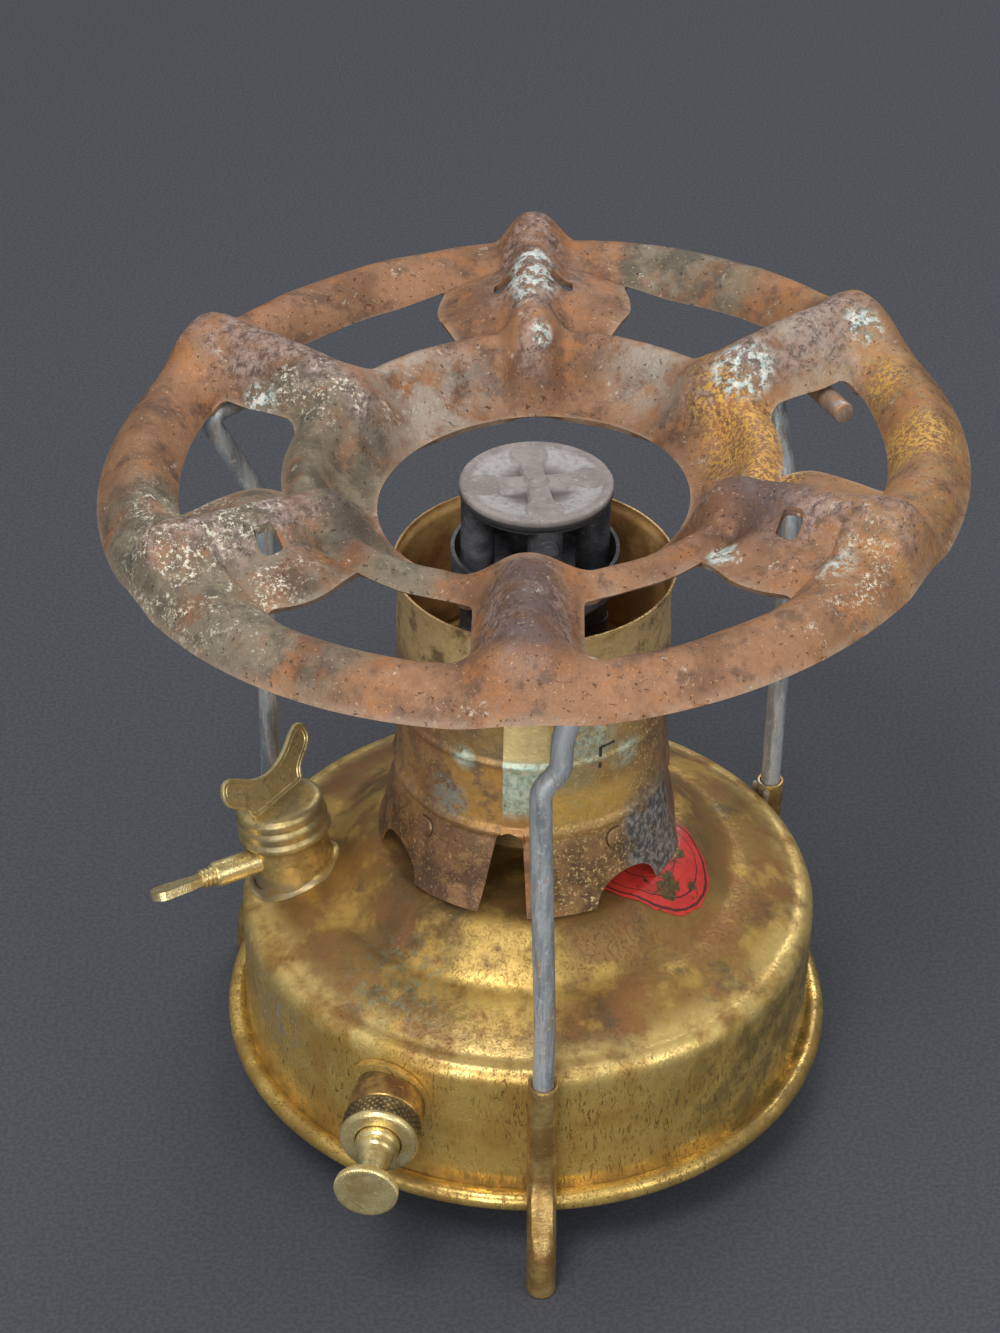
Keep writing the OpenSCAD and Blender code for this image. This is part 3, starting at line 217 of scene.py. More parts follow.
def dense(path, step):
    """Adds points so that no stretch is longer than step."""
    out = [path[0]]
    for a, b in zip(path[:-1], path[1:]):
        n = max(1, int(np.linalg.norm(b - a) / step))
        out += [a + (b - a) * (k + 1) / n for k in range(n)]
    return out


def sweep(path, radius, side, sides=28, cap_round=0.5, shape=None):
    """A round bar along a path with rounded ends. shape(i, angle) scales its section."""
    path = np.array(path)
    n = len(path)
    rings = []
    for i in range(n):
        t = path[min(i + 1, n - 1)] - path[max(i - 1, 0)]
        t /= np.linalg.norm(t)
        u = np.cross(t, side)
        u /= np.linalg.norm(u)
        v = np.cross(u, t)
        ring = []
        for s in range(sides):
            a = 2 * pi * s / sides
            k = radius * (shape(i, a) if shape else 1)
            ring.append(path[i] + k * (u * cos(a) + v * sin(a)))
        rings.append(np.array(ring))
    # Each end narrows over two more rings, so that its edge is round.
    f = (radius - cap_round) / radius
    ends = []
    for at, ring, toward in ((path[0], rings[0], path[1] - path[0]),
                             (path[-1], rings[-1], path[-2] - path[-1])):
        inward = toward / np.linalg.norm(toward)
        ends.append([at + (ring - at) * f * 0.999,
                     at + (ring - at) * (f + (1 - f) * 0.7) + inward * cap_round * 0.3,
                     ring + inward * cap_round])
    rings = ends[0] + rings[1:-1] + ends[1][::-1]
    pts = np.concatenate(rings)
    m = len(rings)
    faces = grid_faces(m, sides, False, True)
    faces.append(tuple(range(sides)))
    faces.append(tuple((m - 1) * sides + k for k in range(sides)))
    return pts, faces


# ---- Materials ----
class Tree:
    """A short way to write a material's node tree. Places are in mm, and color is the colour so far."""

    def __init__(self, name):
        self.mat = bpy.data.materials.new(name)
        self.mat.use_nodes = True
        self.nt = self.mat.node_tree
        self.nt.nodes.clear()
        self.color = None
        self.bsdf = self.node("BsdfPrincipled")
        self.nt.links.new(self.bsdf.outputs[0], self.node("OutputMaterial").inputs[0])
        place = self.node("TexCoord").outputs["Object"]
        self.p = self.node("VectorMath", {0: place, 3: 1 / MM}, operation="SCALE").outputs[0]
        self.x, self.y, self.z = self.node("SeparateXYZ", {0: self.p}).outputs

    def node(self, kind, inputs=None, **settings):
        n = self.nt.nodes.new("ShaderNode" + kind)
        for key, value in settings.items():
            setattr(n, key, value)
        for key, value in (inputs or {}).items():
            self.put(n.inputs[key], value)
        return n

    def put(self, socket, value):
        if isinstance(value, bpy.types.NodeSocket):
            self.nt.links.new(value, socket)
        elif isinstance(value, tuple) and len(value) == 3 and len(socket.default_value) == 4:
            socket.default_value = (*value, 1)
        else:
            socket.default_value = value

    def math(self, op, a, b=0.0, c=0.0):
        return self.node("Math", {0: a, 1: b, 2: c}, operation=op).outputs[0]

    def add(self, a, b):
        return self.math("ADD", a, b)

    def sub(self, a, b):
        return self.math("SUBTRACT", a, b)

    def mul(self, *factors):
        out = factors[0]
        for k in factors[1:]:
            out = self.math("MULTIPLY", out, k)
        return out

    def step(self, v, lo, hi, a=0.0, b=1.0):
        """Goes smoothly from a to b while v goes from lo to hi."""
        ends = {"Value": v, "From Min": lo, "From Max": hi, "To Min": a, "To Max": b}
        return self.node("MapRange", ends, interpolation_type="SMOOTHSTEP").outputs[0]

    def noise(self, size, detail=6, rough=0.7, dist=0.0, stretch=(1, 1, 1), seed=0.0):
        """Noise with features of about size mm."""
        away = (seed * 37.1, seed * 11.3, seed * 23.7)
        at = self.node("Mapping", {0: self.p, 1: away, 3: stretch}).outputs[0]
        return self.node("TexNoise", {"Vector": at, "Scale": 1.0 / size, "Detail": detail,
            "Roughness": rough,
                                      "Distortion": dist}).outputs[0]

    def blotch(self, lo, hi, *noise, **more):
        """Patches where such noise is over about the middle of lo and hi."""
        return self.step(self.noise(*noise, **more), lo, hi)

    def mix(self, f, a, b):
        return self.node("Mix", {0: f, 6: a, 7: b}, data_type="RGBA").outputs[2]

    def coat(self, tint, *masks):
        """Lays a tint over the colour so far, where all its masks are high."""
        self.color = self.mix(self.mul(*masks), self.color, tint)

    def attr(self, name):
        return self.node("Attribute", attribute_name=name).outputs["Fac"]

    def radius(self, cx=0.0, cy=0.0):
        x, y = self.sub(self.x, cx), self.sub(self.y, cy)
        return self.math("SQRT", self.add(self.mul(x, x), self.mul(y, y)))

    def band(self, v, lo0, lo1, hi0, hi1):
        """1 while v lies between two soft limits."""
        return self.mul(self.step(v, lo0, lo1), self.step(v, hi0, hi1))

    def near(self, px, py, pz, r):
        """1 near a point, 0 beyond r."""
        away = self.node("VectorMath", {0: self.p, 1: (px, py, pz)}, operation="DISTANCE").outputs["Value"]
        return self.step(away, r, r * 0.25)

    def patches(self, spots):
        """1 near any of the spots (x, y, z, reach)."""
        out = 0.0
        for spot in spots:
            out = self.math("MAXIMUM", out, self.near(*spot))
        return out

    def bumps(self, layers):
        """Layers of (height, depth in mm)."""
        below = {}
        for height, depth in layers:
            n = self.node("Bump", {"Strength": 1.0, "Distance": depth * MM, "Height": height, **below})
            below = {"Normal": n.outputs[0]}
        self.put(self.bsdf.inputs["Normal"], below["Normal"])

    def finish(self, rough, metal):
        for key, value in (("Base Color", self.color), ("Roughness", rough), ("Metallic", metal)):
            self.put(self.bsdf.inputs[key], value)
        return self.mat


def tank_brass():
    t = Tree("tank_brass")
    wide, mid, small, fine = (t.noise(42, 5, 0.55), t.noise(13, 6, 0.6), t.noise(4.5, 5, 0.62, seed=2),
        t.noise(0.9, 3, 0.55, seed=5))
    dome = t.step(t.z, 61.5, 68.5)
    shoulder = t.band(t.z, 57, 62.5, 70.5, 66)
    gold, deep = (0.90, 0.62, 0.175), (0.52, 0.315, 0.075)
    t.color = t.mix(t.step(mid, 0.36, 0.66), gold, deep)
    # Crazing: thin dark lines that run up the wall.
    craze = t.blotch(0.545, 0.6, 1.5, 6, 0.75, 1.4, stretch=(1.5, 1.5, 0.34), seed=3)
    t.coat((0.15, 0.085, 0.025), craze, t.step(wide, 0.32, 0.54), 0.9)
    right = t.mul(t.step(t.x, 20, 62), t.blotch(0.4, 0.62, 9, seed=7))
    t.coat((0.19, 0.155, 0.06), right, 0.72)
    pale = t.mul(t.near(-70, -38, 52, 19), t.blotch(0.46, 0.6, 5, 6, 0.75, seed=9))
    t.coat((0.52, 0.45, 0.36), pale, 0.75)
    low = t.mul(t.step(t.z, 34, 24), t.step(mid, 0.3, 0.6))
    t.coat((0.3, 0.19, 0.06), low, 0.5)
    wall_color = t.color
    t.color = t.mix(t.step(wide, 0.36, 0.62), (0.43, 0.255, 0.075), (0.215, 0.125, 0.05))
    t.coat((0.34, 0.15, 0.055), t.step(mid, 0.46, 0.66), 0.75)
    t.coat((0.68, 0.44, 0.11), t.blotch(0.5, 0.64, 21, 5, 0.62, seed=4), 0.8)
    t.coat((0.105, 0.1, 0.065), t.blotch(0.55, 0.67, 17, seed=6), 0.6)
    green = t.mul(t.near(-38, -52, 72, 22), t.blotch(0.5, 0.6, 3, 6, 0.8, seed=8))
    t.coat((0.2, 0.36, 0.29), green, 0.5)
    # Painted highlight: brighter gold on the front of the dome's slope.
    front = t.near(-8, -54, 73, 26)
    t.coat((0.78, 0.53, 0.155), front, t.step(small, 0.3, 0.6))
    t.color = t.mix(dome, wall_color, t.color)
    t.coat((0.95, 0.7, 0.26), shoulder, t.step(mid, 0.62, 0.4), 0.7)
    pits = t.blotch(0.66, 0.72, 1.1, 4, seed=12)
    t.coat((0.07, 0.045, 0.02), pits, 0.8)
    dust = t.blotch(0.735, 0.76, 0.8, 2, 0.5, seed=14)
    t.coat((0.75, 0.66, 0.5), dust, 0.45)
    rough = t.add(t.step(mid, 0.3, 0.7, 0.22, 0.38), t.mul(dome, 0.15))
    rough = t.add(rough, t.mul(craze, 0.12))
    t.bumps([(wide, 1.6), (small, 0.16), (t.mul(craze, -1.0), 0.05), (fine, 0.035),
        (t.mul(pits, -1.0), 0.1)])
    return t.finish(rough, t.sub(t.step(mid, 0.35, 0.7, 0.74, 0.56), t.mul(dome, 0.06)))


def aged_brass(name, base, dark, patina, rough0, spots, seed, extra=None):
    """Brass between a base and a dark colour. extra(t, small) lays more on it."""
    t = Tree(name)
    mid, small, fine = (t.noise(9, 6, 0.62, seed=seed), t.noise(2.6, 6, 0.66, seed=seed + 1),
        t.noise(0.5, 3, 0.55, seed=seed + 2))
    t.color = t.mix(t.step(mid, 0.5 - patina * 0.3, 0.8 - patina * 0.3), base, dark)
    t.coat(tuple((c * 0.45 for c in dark)), t.step(small, 0.52, 0.68), 0.6)
    scuffs = t.blotch(0.6, 0.68, 1.6, 5, 0.7, 1.0, stretch=(1, 1, 3.5), seed=seed + 3)
    t.coat(tuple((min(1, c * 1.35) for c in base)), scuffs, 0.55)
    dots = t.blotch(0.67, 0.72, 0.7, 3, 0.6, seed=seed + 4)
    t.coat(tuple((c * 0.3 for c in dark)), dots, spots)
    if extra:
        extra(t, small)
    rough = t.add(t.step(mid, 0.3, 0.7, rough0, rough0 + 0.16), t.mul(dots, 0.15))
    t.bumps([(small, 0.14), (fine, 0.045), (t.mul(scuffs, -1.0), 0.03)])
    return t.finish(rough, t.step(small, 0.4, 0.75, 0.8, 0.62))


def ring_steel():
    t = Tree("ring_steel")
    wide, mid = t.noise(24, 5, 0.6, seed=2), t.noise(8, 6, 0.65, seed=3)
    small, grain = t.noise(2.2, seed=4), t.noise(0.62, 4, seed=5)
    crest, edge = t.attr("crest"), t.attr("edge")
    brown, copper, umber = (0.235, 0.118, 0.062), (0.39, 0.205, 0.11), (0.10, 0.056, 0.038)
    t.color = t.mix(t.step(wide, 0.38, 0.6), brown, copper)
    t.coat(umber, t.step(mid, 0.48, 0.64), 0.7)
    rust = t.mul(t.blotch(0.505, 0.62, 15, seed=7), t.step(small, 0.3, 0.6))
    t.coat((0.5, 0.2, 0.06), rust, 0.6)
    # Olive grey scale on the left and in front, silvery grey where it's rubbed bare.
    olive = t.patches([(-76, -52, 208, 66), (-60, 12, 205, 34), (47, 85, 215, 26)])
    olive = t.mul(t.step(olive, 0.0, 0.45), t.blotch(0.33, 0.53, 17, 6, 0.66, seed=6))
    t.coat(t.mix(t.step(mid, 0.38, 0.6), (0.28, 0.24, 0.17), (0.125, 0.108, 0.078)), olive, 0.9)
    silver = t.patches([(-27, 36, 208, 30), (30, 38, 214, 22), (76, 28, 226, 26)])
    silver = t.mul(silver, t.blotch(0.36, 0.58, 10, seed=16))
    t.coat((0.5, 0.45, 0.385), silver, 0.85)
    warm = t.mul(t.step(t.x, 48, 96), t.blotch(0.4, 0.6, 11, seed=8))
    t.coat(t.mix(t.step(small, 0.4, 0.6), (0.4, 0.27, 0.12), (0.52, 0.25, 0.08)), warm, 0.6)
    gold = t.mul(t.patches([(54, 4, 212, 22), (48, 22, 214, 15), (58, -16, 212, 15), (96, -10, 216, 16),
        (89, 20, 220, 12)]), t.blotch(0.47, 0.55, 1.3, 5, 0.75, seed=9))
    t.coat((0.8, 0.46, 0.1), gold)
    # Crests: rough grey and pink scale with dark hollows.
    c = t.mul(t.step(crest, 0.3, 0.85), t.blotch(0.36, 0.58, 7.5, seed=10))
    crust = t.mix(t.step(small, 0.38, 0.60), (0.105, 0.068, 0.062), (0.46, 0.345, 0.305))
    t.coat(crust, c, 0.8)
    dark = t.mul(t.patches([(53, -38, 218, 19), (-5, -97, 222, 14), (-5, -84, 222, 14), (-5, -70, 218, 12),
        (-40, -30, 214, 20)]), t.step(small, 0.28, 0.52))
    t.coat((0.115, 0.075, 0.07), dark, 0.75)
    # Cream and pale teal flecks.
    fleck = t.blotch(0.525, 0.585, 1.3, 6, 0.8, seed=11)
    cream = t.patches([(-84, -52, 214, 40), (-30, 33, 208, 17), (-62, 29, 213, 16), (-50, 24, 212, 12),
        (-90, -20, 208, 20), (70, -72, 226, 22)])
    t.coat((0.8, 0.75, 0.6), fleck, t.step(cream, 0.1, 0.7), t.blotch(0.42, 0.56, 9, 4, 0.6, seed=12))
    thick = t.blotch(0.455, 0.53, 3.4, 6, 0.78, seed=18)
    teal = t.patches([(2, 76, 223, 13), (5, 49, 217, 9), (55, 21, 222, 13), (89, 33, 229, 10),
        (66, -66, 225, 13), (78, -76, 226, 12),
                      (-71, 35, 204, 8), (44, -52, 208, 7), (-3, 66, 222, 8)])
    t.coat(t.mix(t.step(small, 0.42, 0.58), (0.5, 0.62, 0.58), (0.86, 0.87, 0.8)), thick,
        t.step(teal, 0.05, 0.6), 0.92)
    few = t.mul(fleck, t.blotch(0.6, 0.68, 6, 4, 0.6, seed=19))
    t.coat((0.7, 0.66, 0.54), few, 0.7)
    bare = t.mul(edge, t.step(mid, 0.36, 0.58))
    t.coat((0.58, 0.44, 0.32), bare, 0.42)
    # Painted glints: fine pale flecks all over the ring.
    painted_glints = t.blotch(0.655, 0.69, 0.8, 3, 0.6, seed=13)
    t.coat((0.78, 0.56, 0.34), painted_glints, 0.55)
    holes = t.blotch(0.62, 0.68, 1.5, 5, seed=15)
    t.coat((0.05, 0.03, 0.022), holes, 0.65)
    rough = t.sub(t.step(small, 0.3, 0.7, 0.50, 0.76), t.mul(silver, 0.14))
    t.bumps([(mid, 0.45), (t.mul(small, t.add(0.55, crest)), 0.36), (grain, 0.15),
        (t.mul(thick, teal), 0.25), (t.mul(holes, -1.0), 0.2)])
    return t.finish(rough, t.add(t.step(mid, 0.3, 0.7, 0.5, 0.2), t.mul(silver, 0.3)))


def shield_brass():
    t = Tree("shield_brass")
    az, inside, slit_shade = t.attr("az"), t.attr("inside"), t.attr("slit_shade")
    wide, mid, small, grain = (t.noise(16, 5, 0.6, seed=1), t.noise(7, 6, 0.65, seed=2),
        t.noise(2.1, seed=3), t.noise(0.7, 4, seed=4))
    t.color = t.mix(t.step(wide, 0.38, 0.6), (0.36, 0.185, 0.085), (0.52, 0.31, 0.135))
    t.coat((0.175, 0.115, 0.075), t.step(mid, 0.47, 0.63), 0.7)
    # Left of the seam: olive above the bead, orange gold below it, dark at the far left.
    left = t.band(az, -104.3, -104.7, -140, -122)
    t.coat(t.mix(t.step(mid, 0.4, 0.6), (0.4, 0.27, 0.085), (0.25, 0.185, 0.085)), left,
        t.step(t.z, 133, 137), 0.6)
    t.coat((0.66, 0.37, 0.1), left, t.band(t.z, 134, 131, 110, 116), t.step(mid, 0.62, 0.42))
    # Right of the seam: clean gold above, verdigris across the bead, then gold speckle.
    strip = t.band(az, -104.7, -104.3, -84, -88)
    t.coat((0.66, 0.41, 0.14), t.step(az, -104.7, -104.3), t.step(az, -30, -58), 0.8)
    t.coat((0.93, 0.72, 0.33), strip, t.step(t.z, 134.5, 138))
    upper = t.mul(t.step(t.z, 150, 158), t.step(mid, 0.66, 0.44))
    t.coat((0.98, 0.7, 0.31), upper, 0.9)
    mint = t.mix(t.step(small, 0.4, 0.6), (0.38, 0.60, 0.50), (0.74, 0.80, 0.64))
    band = t.mul(t.step(t.z, 137.5, 135.0), t.step(t.z, 115.5, 121), t.step(small, 0.3, 0.48))
    t.coat(mint, strip, band, 0.95)
    t.coat((0.5, 0.23, 0.09), t.mul(strip, t.step(t.z, 119, 114)), 0.7)
    verdigris = t.mul(t.patches([(13, -36, 141, 12), (24, -30, 133, 7), (-20, -32, 134, 5)]),
        t.step(small, 0.36, 0.50))
    t.coat(mint, verdigris, 0.9)
    pale = t.mul(t.step(az, -88, -84), t.step(az, -62, -72), t.band(t.z, 123, 129, 141, 136))
    t.coat((0.56, 0.5, 0.3), pale, 0.6)
    # Painted highlight: a bright golden glow low on the front right of the wall.
    painted_glow = t.mul(t.step(az, -92, -84), t.step(az, -38, -54), t.band(t.z, 112, 117, 128, 122))
    t.coat((0.98, 0.62, 0.15), painted_glow, 0.75)
    rusty = t.mul(t.step(t.z, 112, 107), t.step(mid, 0.30, 0.56))
    t.coat((0.33, 0.165, 0.085), rusty, 0.75)
    sooty = t.mul(t.step(t.z, 116, 100), t.blotch(0.44, 0.6, 9, seed=11))
    t.coat((0.12, 0.075, 0.05), sooty, 0.8)
    speck = t.mul(t.step(az, -96, -82), t.step(az, -16, -42), t.blotch(0.525, 0.585, 1.05, 5, 0.75, seed=6))
    t.coat((0.95, 0.7, 0.3), speck)
    freckle = t.mul(t.step(az, -106, -120), t.blotch(0.57, 0.62, 1.0, 5, 0.75, seed=9))
    t.coat((0.72, 0.46, 0.2), freckle, 0.75)
    blue = t.mul(t.band(az, -55, -47, -6, -26), t.step(t.z, 119, 108), t.step(mid, 0.3, 0.46))
    t.coat(t.mix(t.step(small, 0.42, 0.6), (0.13, 0.14, 0.15), (0.5, 0.48, 0.42)), blue, 0.9)
    teal = t.mul(t.near(-24, -29, 119, 9), t.step(small, 0.40, 0.56))
    t.coat((0.34, 0.43, 0.4), teal, 0.7)
    dots = t.blotch(0.63, 0.69, 1.3, 5, seed=8)
    t.coat((0.07, 0.04, 0.028), dots, 0.7)
    inner = t.mix(t.step(wide, 0.36, 0.60), (0.80, 0.50, 0.19), (0.40, 0.215, 0.085))
    t.coat(inner, inside)
    # Painted shade: near black where the tabs' slits are.
    t.coat((0.045, 0.03, 0.02), slit_shade)
    rough = t.step(small, 0.3, 0.7, 0.30, 0.54)
    t.bumps([(mid, 0.3), (small, 0.2), (grain, 0.08), (speck, 0.14)])
    return t.finish(rough, t.step(mid, 0.3, 0.7, 0.66, 0.42))


def leg_steel():
    t = Tree("leg_steel")
    long, small, grain = (t.noise(6, 6, 0.7, 0.6, stretch=(1.6, 1.6, 0.22), seed=1), t.noise(1.6, seed=2),
        t.noise(0.45, 3, 0.55, seed=3))
    t.color = t.mix(t.step(long, 0.38, 0.6), (0.27, 0.295, 0.32), (0.55, 0.58, 0.59))
    streak = t.blotch(0.545, 0.62, 3, 6, 0.75, 1.0, stretch=(1.5, 1.5, 0.2), seed=5)
    t.coat((0.33, 0.21, 0.12), streak, 0.75)
    t.coat((0.74, 0.76, 0.74), t.step(small, 0.56, 0.66), 0.5)
    top = t.mul(t.step(t.z, 198, 205), t.step(small, 0.36, 0.54))
    t.coat((0.5, 0.25, 0.1), top, 0.8)
    dots = t.blotch(0.64, 0.69, 0.8, 4, seed=7)
    t.coat((0.09, 0.07, 0.05), dots, 0.6)
    t.bumps([(long, 0.1), (small, 0.09), (grain, 0.04)])
    return t.finish(t.step(small, 0.3, 0.7, 0.34, 0.52), t.step(streak, 0.0, 1.0, 0.42, 0.15))


def dark_iron(name, dark, light, rough0, metal, scoop=None):
    """A dull, mottled surface. scoop is the colour in the burner top's scoops."""
    t = Tree(name)
    wide, mid, small, grain = (t.noise(14, 5, 0.6, seed=1), t.noise(5, 6, 0.65, seed=2),
        t.noise(1.5, seed=3), t.noise(0.5, 4, seed=4))
    t.color = t.mix(t.step(t.add(t.mul(wide, 0.5), t.mul(mid, 0.5)), 0.4, 0.6), dark, light)
    t.coat(tuple((min(1, c * 1.6) for c in light)), t.step(small, 0.55, 0.67), 0.6)
    t.coat(tuple((c * 0.35 for c in dark)), t.blotch(0.6, 0.68, 3.2, seed=6), 0.7)
    if scoop:
        deep = t.attr("scoop")
        t.coat(scoop, t.step(deep, 0.06, 0.2), t.step(small, 0.3, 0.6))
        # Painted shade: the deepest part of each scoop is darkened.
        t.coat((0.12, 0.095, 0.09), t.step(deep, 0.5, 0.95), 0.8)
        t.coat((0.07, 0.073, 0.08), t.step(deep, -0.2, -0.6))
    t.bumps([(mid, 0.25), (small, 0.16), (grain, 0.08)])
    return t.finish(t.step(small, 0.3, 0.7, rough0, rough0 + 0.2), metal)


def label_centre():
    return LABEL_OUT * cos(rad(LABEL_DIR)), LABEL_OUT * sin(rad(LABEL_DIR))


def label_red():
    t = Tree("label_red")
    cx, cy = label_centre()
    r = t.add(t.radius(cx, cy), t.mul(t.sub(t.noise(5, 4, 0.6, seed=1), 0.5), 1.6))
    small = t.noise(1.4, seed=2)
    t.color = t.mix(t.blotch(0.35, 0.65, 6, 5, 0.6, seed=3), (0.76, 0.052, 0.036), (0.58, 0.034, 0.028))
    for at, w in ((17.0, 0.45), (14.4, 0.24), (8.4, 0.24)):
        line = t.mul(t.step(r, at - w, at - w * 0.4), t.step(r, at + w, at + w * 0.4))
        t.coat((0.035, 0.02, 0.02), line, 0.9)
    worn = t.add(t.noise(4.2, 6, 0.72, 0.8, seed=5), t.mul(t.step(r, 15, 19), 0.05))
    for spot in ((37, -27.9, 85.3, 6.5), (40.2, -15.3, 87, 4.5), (45.6, -24, 83, 3.5)):
        worn = t.add(worn, t.mul(t.near(*spot), 0.22))
    worn = t.step(worn, 0.60, 0.63)
    t.coat(t.mix(t.step(small, 0.4, 0.6), (0.23, 0.155, 0.06), (0.11, 0.085, 0.05)), worn)
    t.coat((0.06, 0.02, 0.02), t.step(small, 0.66, 0.72), 0.6)
    t.bumps([(worn, -0.12), (small, 0.06)])
    return t.finish(t.step(small, 0.3, 0.7, 0.3, 0.5), t.mul(worn, 0.7))


def solder(t, small):
    """Grey solder where a piece meets the tank's wall."""
    near_wall = t.mul(t.step(t.radius(), 83.4, 82.4), t.step(t.z, 22, 28))
    t.coat((0.52, 0.48, 0.4), near_wall, t.step(small, 0.25, 0.5))


def neck_solder(t, small):
    """The same where the neck meets the dome."""
    foot = t.mul(t.step(t.z, 75.2, 73.4), t.step(small, 0.36, 0.52))
    t.coat((0.4, 0.33, 0.22), foot, 0.7)


TANK = tank_brass()
SOCKET = aged_brass("socket_brass", (0.78, 0.54, 0.20), (0.40, 0.225, 0.075), 0.6, 0.24, 0.4, 3.0, solder)
SOLDER = dark_iron("solder", (0.30, 0.26, 0.19), (0.52, 0.48, 0.40), 0.42, 0.6)
WING = aged_brass("wing_brass", (0.74, 0.62, 0.31), (0.50, 0.40, 0.18), 0.35, 0.30, 0.3, 9.0)
FITTING = aged_brass("fitting_brass", (0.92, 0.76, 0.38), (0.56, 0.41, 0.15), 0.32, 0.17, 0.3, 1.0)
KNURL = aged_brass("knurl_brass", (0.50, 0.37, 0.16), (0.14, 0.10, 0.05), 0.7, 0.34, 0.5, 2.0)
CAP = aged_brass("cap_brass", (0.70, 0.53, 0.215), (0.37, 0.30, 0.165), 0.55, 0.30, 0.5, 5.0)
NECK = aged_brass("neck_brass", (0.76, 0.54, 0.19), (0.40, 0.27, 0.10), 0.5, 0.27, 0.5, 6.0, neck_solder)
GLAND = aged_brass("gland_brass", (0.74, 0.46, 0.14), (0.24, 0.13, 0.055), 0.6, 0.30, 0.7, 7.0)
INNER = aged_brass("inner_brass", (0.42, 0.29, 0.13), (0.20, 0.13, 0.06), 0.6, 0.4, 0.4, 8.0)
RING_MAT, SHIELD_MAT, LEG_MAT, LABEL_MAT = ring_steel(), shield_brass(), leg_steel(), label_red()
IRON = dark_iron("burner_dark", (0.050, 0.053, 0.060), (0.135, 0.14, 0.155), 0.46, 0.45)
FACE = dark_iron("burner_face", (0.235, 0.205, 0.19), (0.34, 0.30, 0.28), 0.56, 0.2, (0.43, 0.41, 0.40))
ROD_STEEL = dark_iron("rod_steel", (0.42, 0.41, 0.39), (0.60, 0.59, 0.57), 0.28, 0.95)
LEAD = dark_iron("lead", (0.16, 0.165, 0.175), (0.30, 0.305, 0.32), 0.5, 0.7)
LEATHER = dark_iron("leather", (0.10, 0.045, 0.02), (0.20, 0.10, 0.045), 0.55, 0.0)
RUBBER = dark_iron("seat_rubber", (0.022, 0.022, 0.022), (0.05, 0.05, 0.05), 0.6, 0.0)


def carve(obj, pts, faces, sharp):
    """Cuts a closed form, given in mm, out of a piece."""
    mesh = bpy.data.meshes.new("cutter")
    mesh.from_pydata((np.asarray(pts) * MM).tolist(), [], faces)
    cutter = bpy.data.objects.new("cutter", mesh)
    scene.collection.objects.link(cutter)
    cut = obj.modifiers.new("cut", "BOOLEAN")
    cut.operation, cut.object, cut.solver = "DIFFERENCE", cutter, "EXACT"
    bpy.context.view_layer.update()
    done = bpy.data.meshes.new_from_object(obj.evaluated_get(bpy.context.evaluated_depsgraph_get()))
    obj.modifiers.clear()
    obj.data = done
    bpy.data.objects.remove(cutter)
    done.shade_smooth()
    done.set_sharp_from_angle(angle=rad(sharp))


# ---- Tank ----
def dome_at(r):
    r = np.asarray(r, float)
    a = DOME_Z + (SHOULDER_Z + 7.5 - DOME_Z) * ease((r - 42) / 18)
    b = SHOULDER_Z + 7.5 - 7.5 * np.clip((r - 60) / 16.5, 0, 1) ** 1.3
    return np.where(r <= 60, a, b)


def tank():
    rs = np.concatenate([np.linspace(6.6, 40, 12), np.linspace(42, 60, 20), np.linspace(61, 76.5, 18)])
    outer = [(r, float(dome_at(r))) for r in rs]
    outer += [(76.5 + 5.5 * cos(a), 61 + 5.5 * sin(a)) for a in np.linspace(pi / 2, 0, 12)[1:]]
    outer += [(82, z) for z in np.linspace(59, 25.6, 18)]
    outer += [(82.15, 24.6), (82.6, 23.8), (83.4, 23.45), (85.8, 23.4), (85.8, 22.6), (81.2, 22.6)]
    inner = [(81.1, z) for z in np.linspace(25, 61, 6)]
    inner += [(76.5 + 4.6 * cos(a), 61 + 4.6 * sin(a)) for a in np.linspace(0, pi / 2, 6)[1:]]
    inner += [(r, float(dome_at(r)) - 0.9) for r in (72, 66, 60, 54, 48, 42, 20, 6.6)]
    pts, faces = lathe(outer + inner, 288)
    # Soft dents, which leave the outline inside the plain shape.
    n = wobble(pts, 34, 3) * 0.16 + wobble(pts, 13, 4) * 0.05
    reach = np.hypot(pts[:, 0], pts[:, 1])
    upper, on_dome = pts[:, 2] > 30, reach < 79
    pts[:, :2] *= np.where(upper & ~on_dome, (reach - 0.22 + 0.27 * n) / reach, 1)[:, None]
    pts[:, 2] += np.where(upper & on_dome & (reach > 20), n - 0.22, 0)
    shell = make("tank_shell_skin", pts, faces, "stove", "tank_brass", TANK, ["tank_shell"], sharp=50)
    # The pump goes in through a hole.
    pts, faces = prism([(10 * cos(2 * pi * q / 96), 10 * sin(2 * pi * q / 96)) for q in range(96)], 45, 100)
    carve(shell, moved(np.array(pts), PUMP), faces, 50)
    # Bottom and rim bead.
    bead, hem = 2.9, 84.6
    p = [(0, 6.5), (46, 6), (77, 5), (80.4, -0.05), (86.2, -0.05), (86.25, 0.9), (82.1, 0.9)]
    p += [(hem + bead * cos(rad(a)), bead * sin(rad(a))) for a in range(150, -161, -10)]
    p += [(79.9, -0.95), (76.6, 4.1), (46, 5.1), (0, 5.6)]
    pts, faces = lathe([(r, z + RIM_Z) for r, z in p], 288)
    make("tank_base_skin", pts, faces, "stove", "tank_brass", TANK, ["tank_base"], sharp=50)


